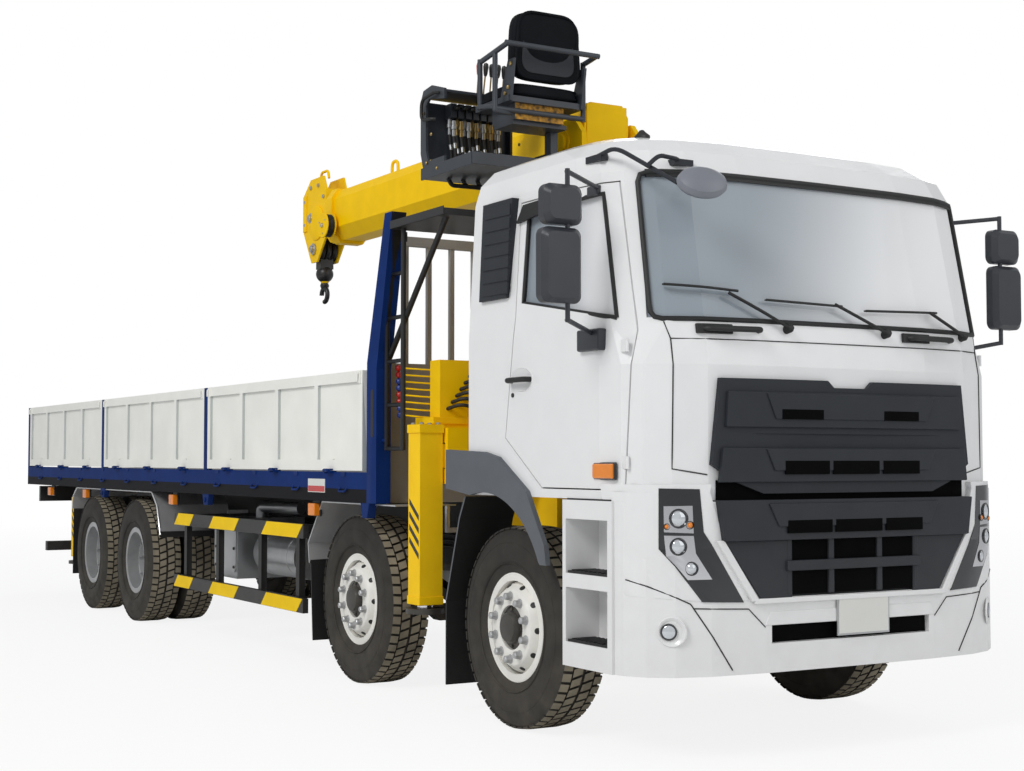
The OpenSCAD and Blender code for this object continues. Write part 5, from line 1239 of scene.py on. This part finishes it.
    # reel of the hook's limit cable
    rl = Mesh()
    at = axis_matrix((-0.05, -0.165, 3.372), (0, -1, 0))
    rl.turn([(0.02, -0.005), (0.03, 0.022), (0.104, 0.024), (0.104, 0.031), (0.086, 0.033)], at, 0, 40)
    lay = ((0.092, 0.002), (0.094, 0.006), (0.092, 0.01), (0.088, 0.012))
    layers = [(r, 0.034 + 0.012 * k + d) for k in range(5) for r, d in lay]
    rl.turn([(0.086, 0.032)] + layers + [(0.086, 0.096)], at, 1, 40)
    rl.turn([(0.086, 0.095), (0.104, 0.096), (0.104, 0.103), (0.1, 0.106), (0.03, 0.108), (0.002, 0.108)],
            at, 0, 40)
    rl.turn([(0.02, 0.106), (0.02, 0.116), (0.013, 0.122), (0.002, 0.122)], at, 2, 20)
    for k in range(3):
        rl.turn([(0.006, 0.106), (0.006, 0.112), (0.002, 0.113)], on_circle(at, 0.068, 2.1 * k + 0.6), 2, 8)
    rl.make("cable_reel", [YELLOW, HOSE, TANK], 0, "crane_yellow", body="boom_1")
    # boom head: sheaves, guards, pins and ropes
    q = Mesh()
    hx = CX - 3.83
    for (dx, dz, rr) in ((0.3, 0.26, 0.178), (0.25, -0.01, 0.105)):
        for y in (-0.055, 0.0, 0.055):
            q.turn([(rr, -0.02), (rr * 0.9, -0.008), (rr * 0.9, 0.008), (rr, 0.02), (rr * 0.55, 0.02),
                    (rr * 0.5, 0.01), (0.03, 0.012)], axis_matrix((hx - dx, y, BB + dz), (0, 1, 0)), 1, 36)
        for s in (-1, 1):
            q.turn([(0.05, 0), (0.05, 0.016), (0.03, 0.02), (0.03, 0.036), (0.022, 0.04)],
                   axis_matrix((hx - dx, s * 0.1, BB + dz), (0, s, 0)), 2, 20)
    for s in (-1, 1):
        for (dx, dz) in ((0.05, 0.14), (0.05, 0.42), (0.16, 0.53), (0.32, 0.53), (0.44, 0.42), (0.44, 0.22),
                         (0.16, 0.1)):
            q.bolt(axis_matrix((hx - dx, s * 0.1, BB + dz), (0, s, 0)), 0.018, 0.012, (0.01, 0.016), 2)
        q.box((hx - 0.47, s * 0.084, BB + 0.16), (hx - 0.4, s * 0.112, BB + 0.47), 0)
        q.turn([(0.15, 0), (0.15, 0.01), (0.12, 0.018), (0.07, 0.018)],
               axis_matrix((hx - 0.19, s * 0.1, BB + 0.21), (0, s, 0)), 0, 32)
    q.box((hx - 0.482, -0.105, BB + 0.17), (hx - 0.47, 0.105, BB + 0.46), 3)
    q.pipe([(hx - 0.1, -0.03, BB + 0.59), (hx - 0.12, -0.03, BB + 0.66), (hx - 0.26, -0.03, BB + 0.66),
            (hx - 0.28, -0.03, BB + 0.59)], 0.04, 0.012, 0, 8)
    for i in range(4):
        y = -0.06 + i * 0.04
        q.pipe([(hx - 0.47, y, BB + 0.25), (hx - 0.455, y, BB + 0.07), (hx - 0.415, y, BB + 0.015),
                (hx - 0.35, y, BB + 0.03)], 0.05, 0.009, 1, 8, 8)
    q.tube([(hx - 0.28, -0.055, BB + 0.435), (hx + 0.2, -0.055, BB + 0.43)], 0.008, 1, 8)
    q.make("boom_head_fittings", [YELLOW, HUB, TANK, YELLOW2], 0.002, "crane_yellow", body="boom_4")
    # hook: swivel and ball
    k2 = Mesh()
    hxp = CX - 4.08
    k2.turn([(0.03, 0.03), (0.045, 0.0), (0.045, -0.06), (0.03, -0.09), (0.018, -0.1)],
            Matrix.Translation((hxp, 0, 3.05)), 0, 24)
    k2.turn([(0.012, 0.03), (0.032, 0.02), (0.04, 0.0), (0.032, -0.02), (0.01, -0.03)],
            Matrix.Translation((hxp, 0, 2.94)), 1, 24)
    k2.make("hook_swivel", [YELLOW, HUB], 0, "hook_black", body="hook")
    # ground levers behind the cab
    g = Mesh()
    bx, by = A1 - 1.33, -1.0
    g.box((bx - 0.02, by - 0.05, 1.66), (bx + 0.22, by + 0.28, 1.7), 0)
    for i in range(8):
        z = 1.715 + i * 0.042
        end = (bx - 0.1 - 0.004 * i, by - 0.1, z + 0.004)
        g.pipe([(bx + 0.12, by + 0.1, z - 0.02), (bx + 0.02, by - 0.03, z - 0.01), end], 0.04, 0.006, 0, 8)
        g.turn([(0.008, -0.004), (0.02, 0.004), (0.022, 0.018), (0.014, 0.03), (0.002, 0.033)],
               axis_matrix(end, (-0.8, -0.6, 0)), 2 if i in (0, 1, 4, 5) else 1, 14)
    for i in range(6):
        g.pipe([(bx + 0.2, by + 0.05 + 0.03 * i, 1.75 + 0.04 * i),
                (bx + 0.3, by + 0.1 + 0.03 * i, 1.78 + 0.04 * i), (bx + 0.32, -0.45, 1.66 + 0.02 * i)],
               0.06, 0.012, 3, 8)
    g.make("ground_levers", [YELLOW, KRED, KBLUE, HOSE], 0.003, "crane_yellow")
    # collar of the luffing cylinder
    c = Mesh()
    d = Vector((-0.1198, 0, 0.9928)).normalized()
    low = Vector((3.205, 0, 2.0))
    c.turn([(0.076, 0), (0.084, 0.004), (0.084, 0.05), (0.076, 0.054)],
           axis_matrix(low + d * 0.93, d), 0, 32, cap=False)
    c.make("cylinder_collar", [YELLOW], 0, "crane_yellow", body="lift_barrel")


crane_details()
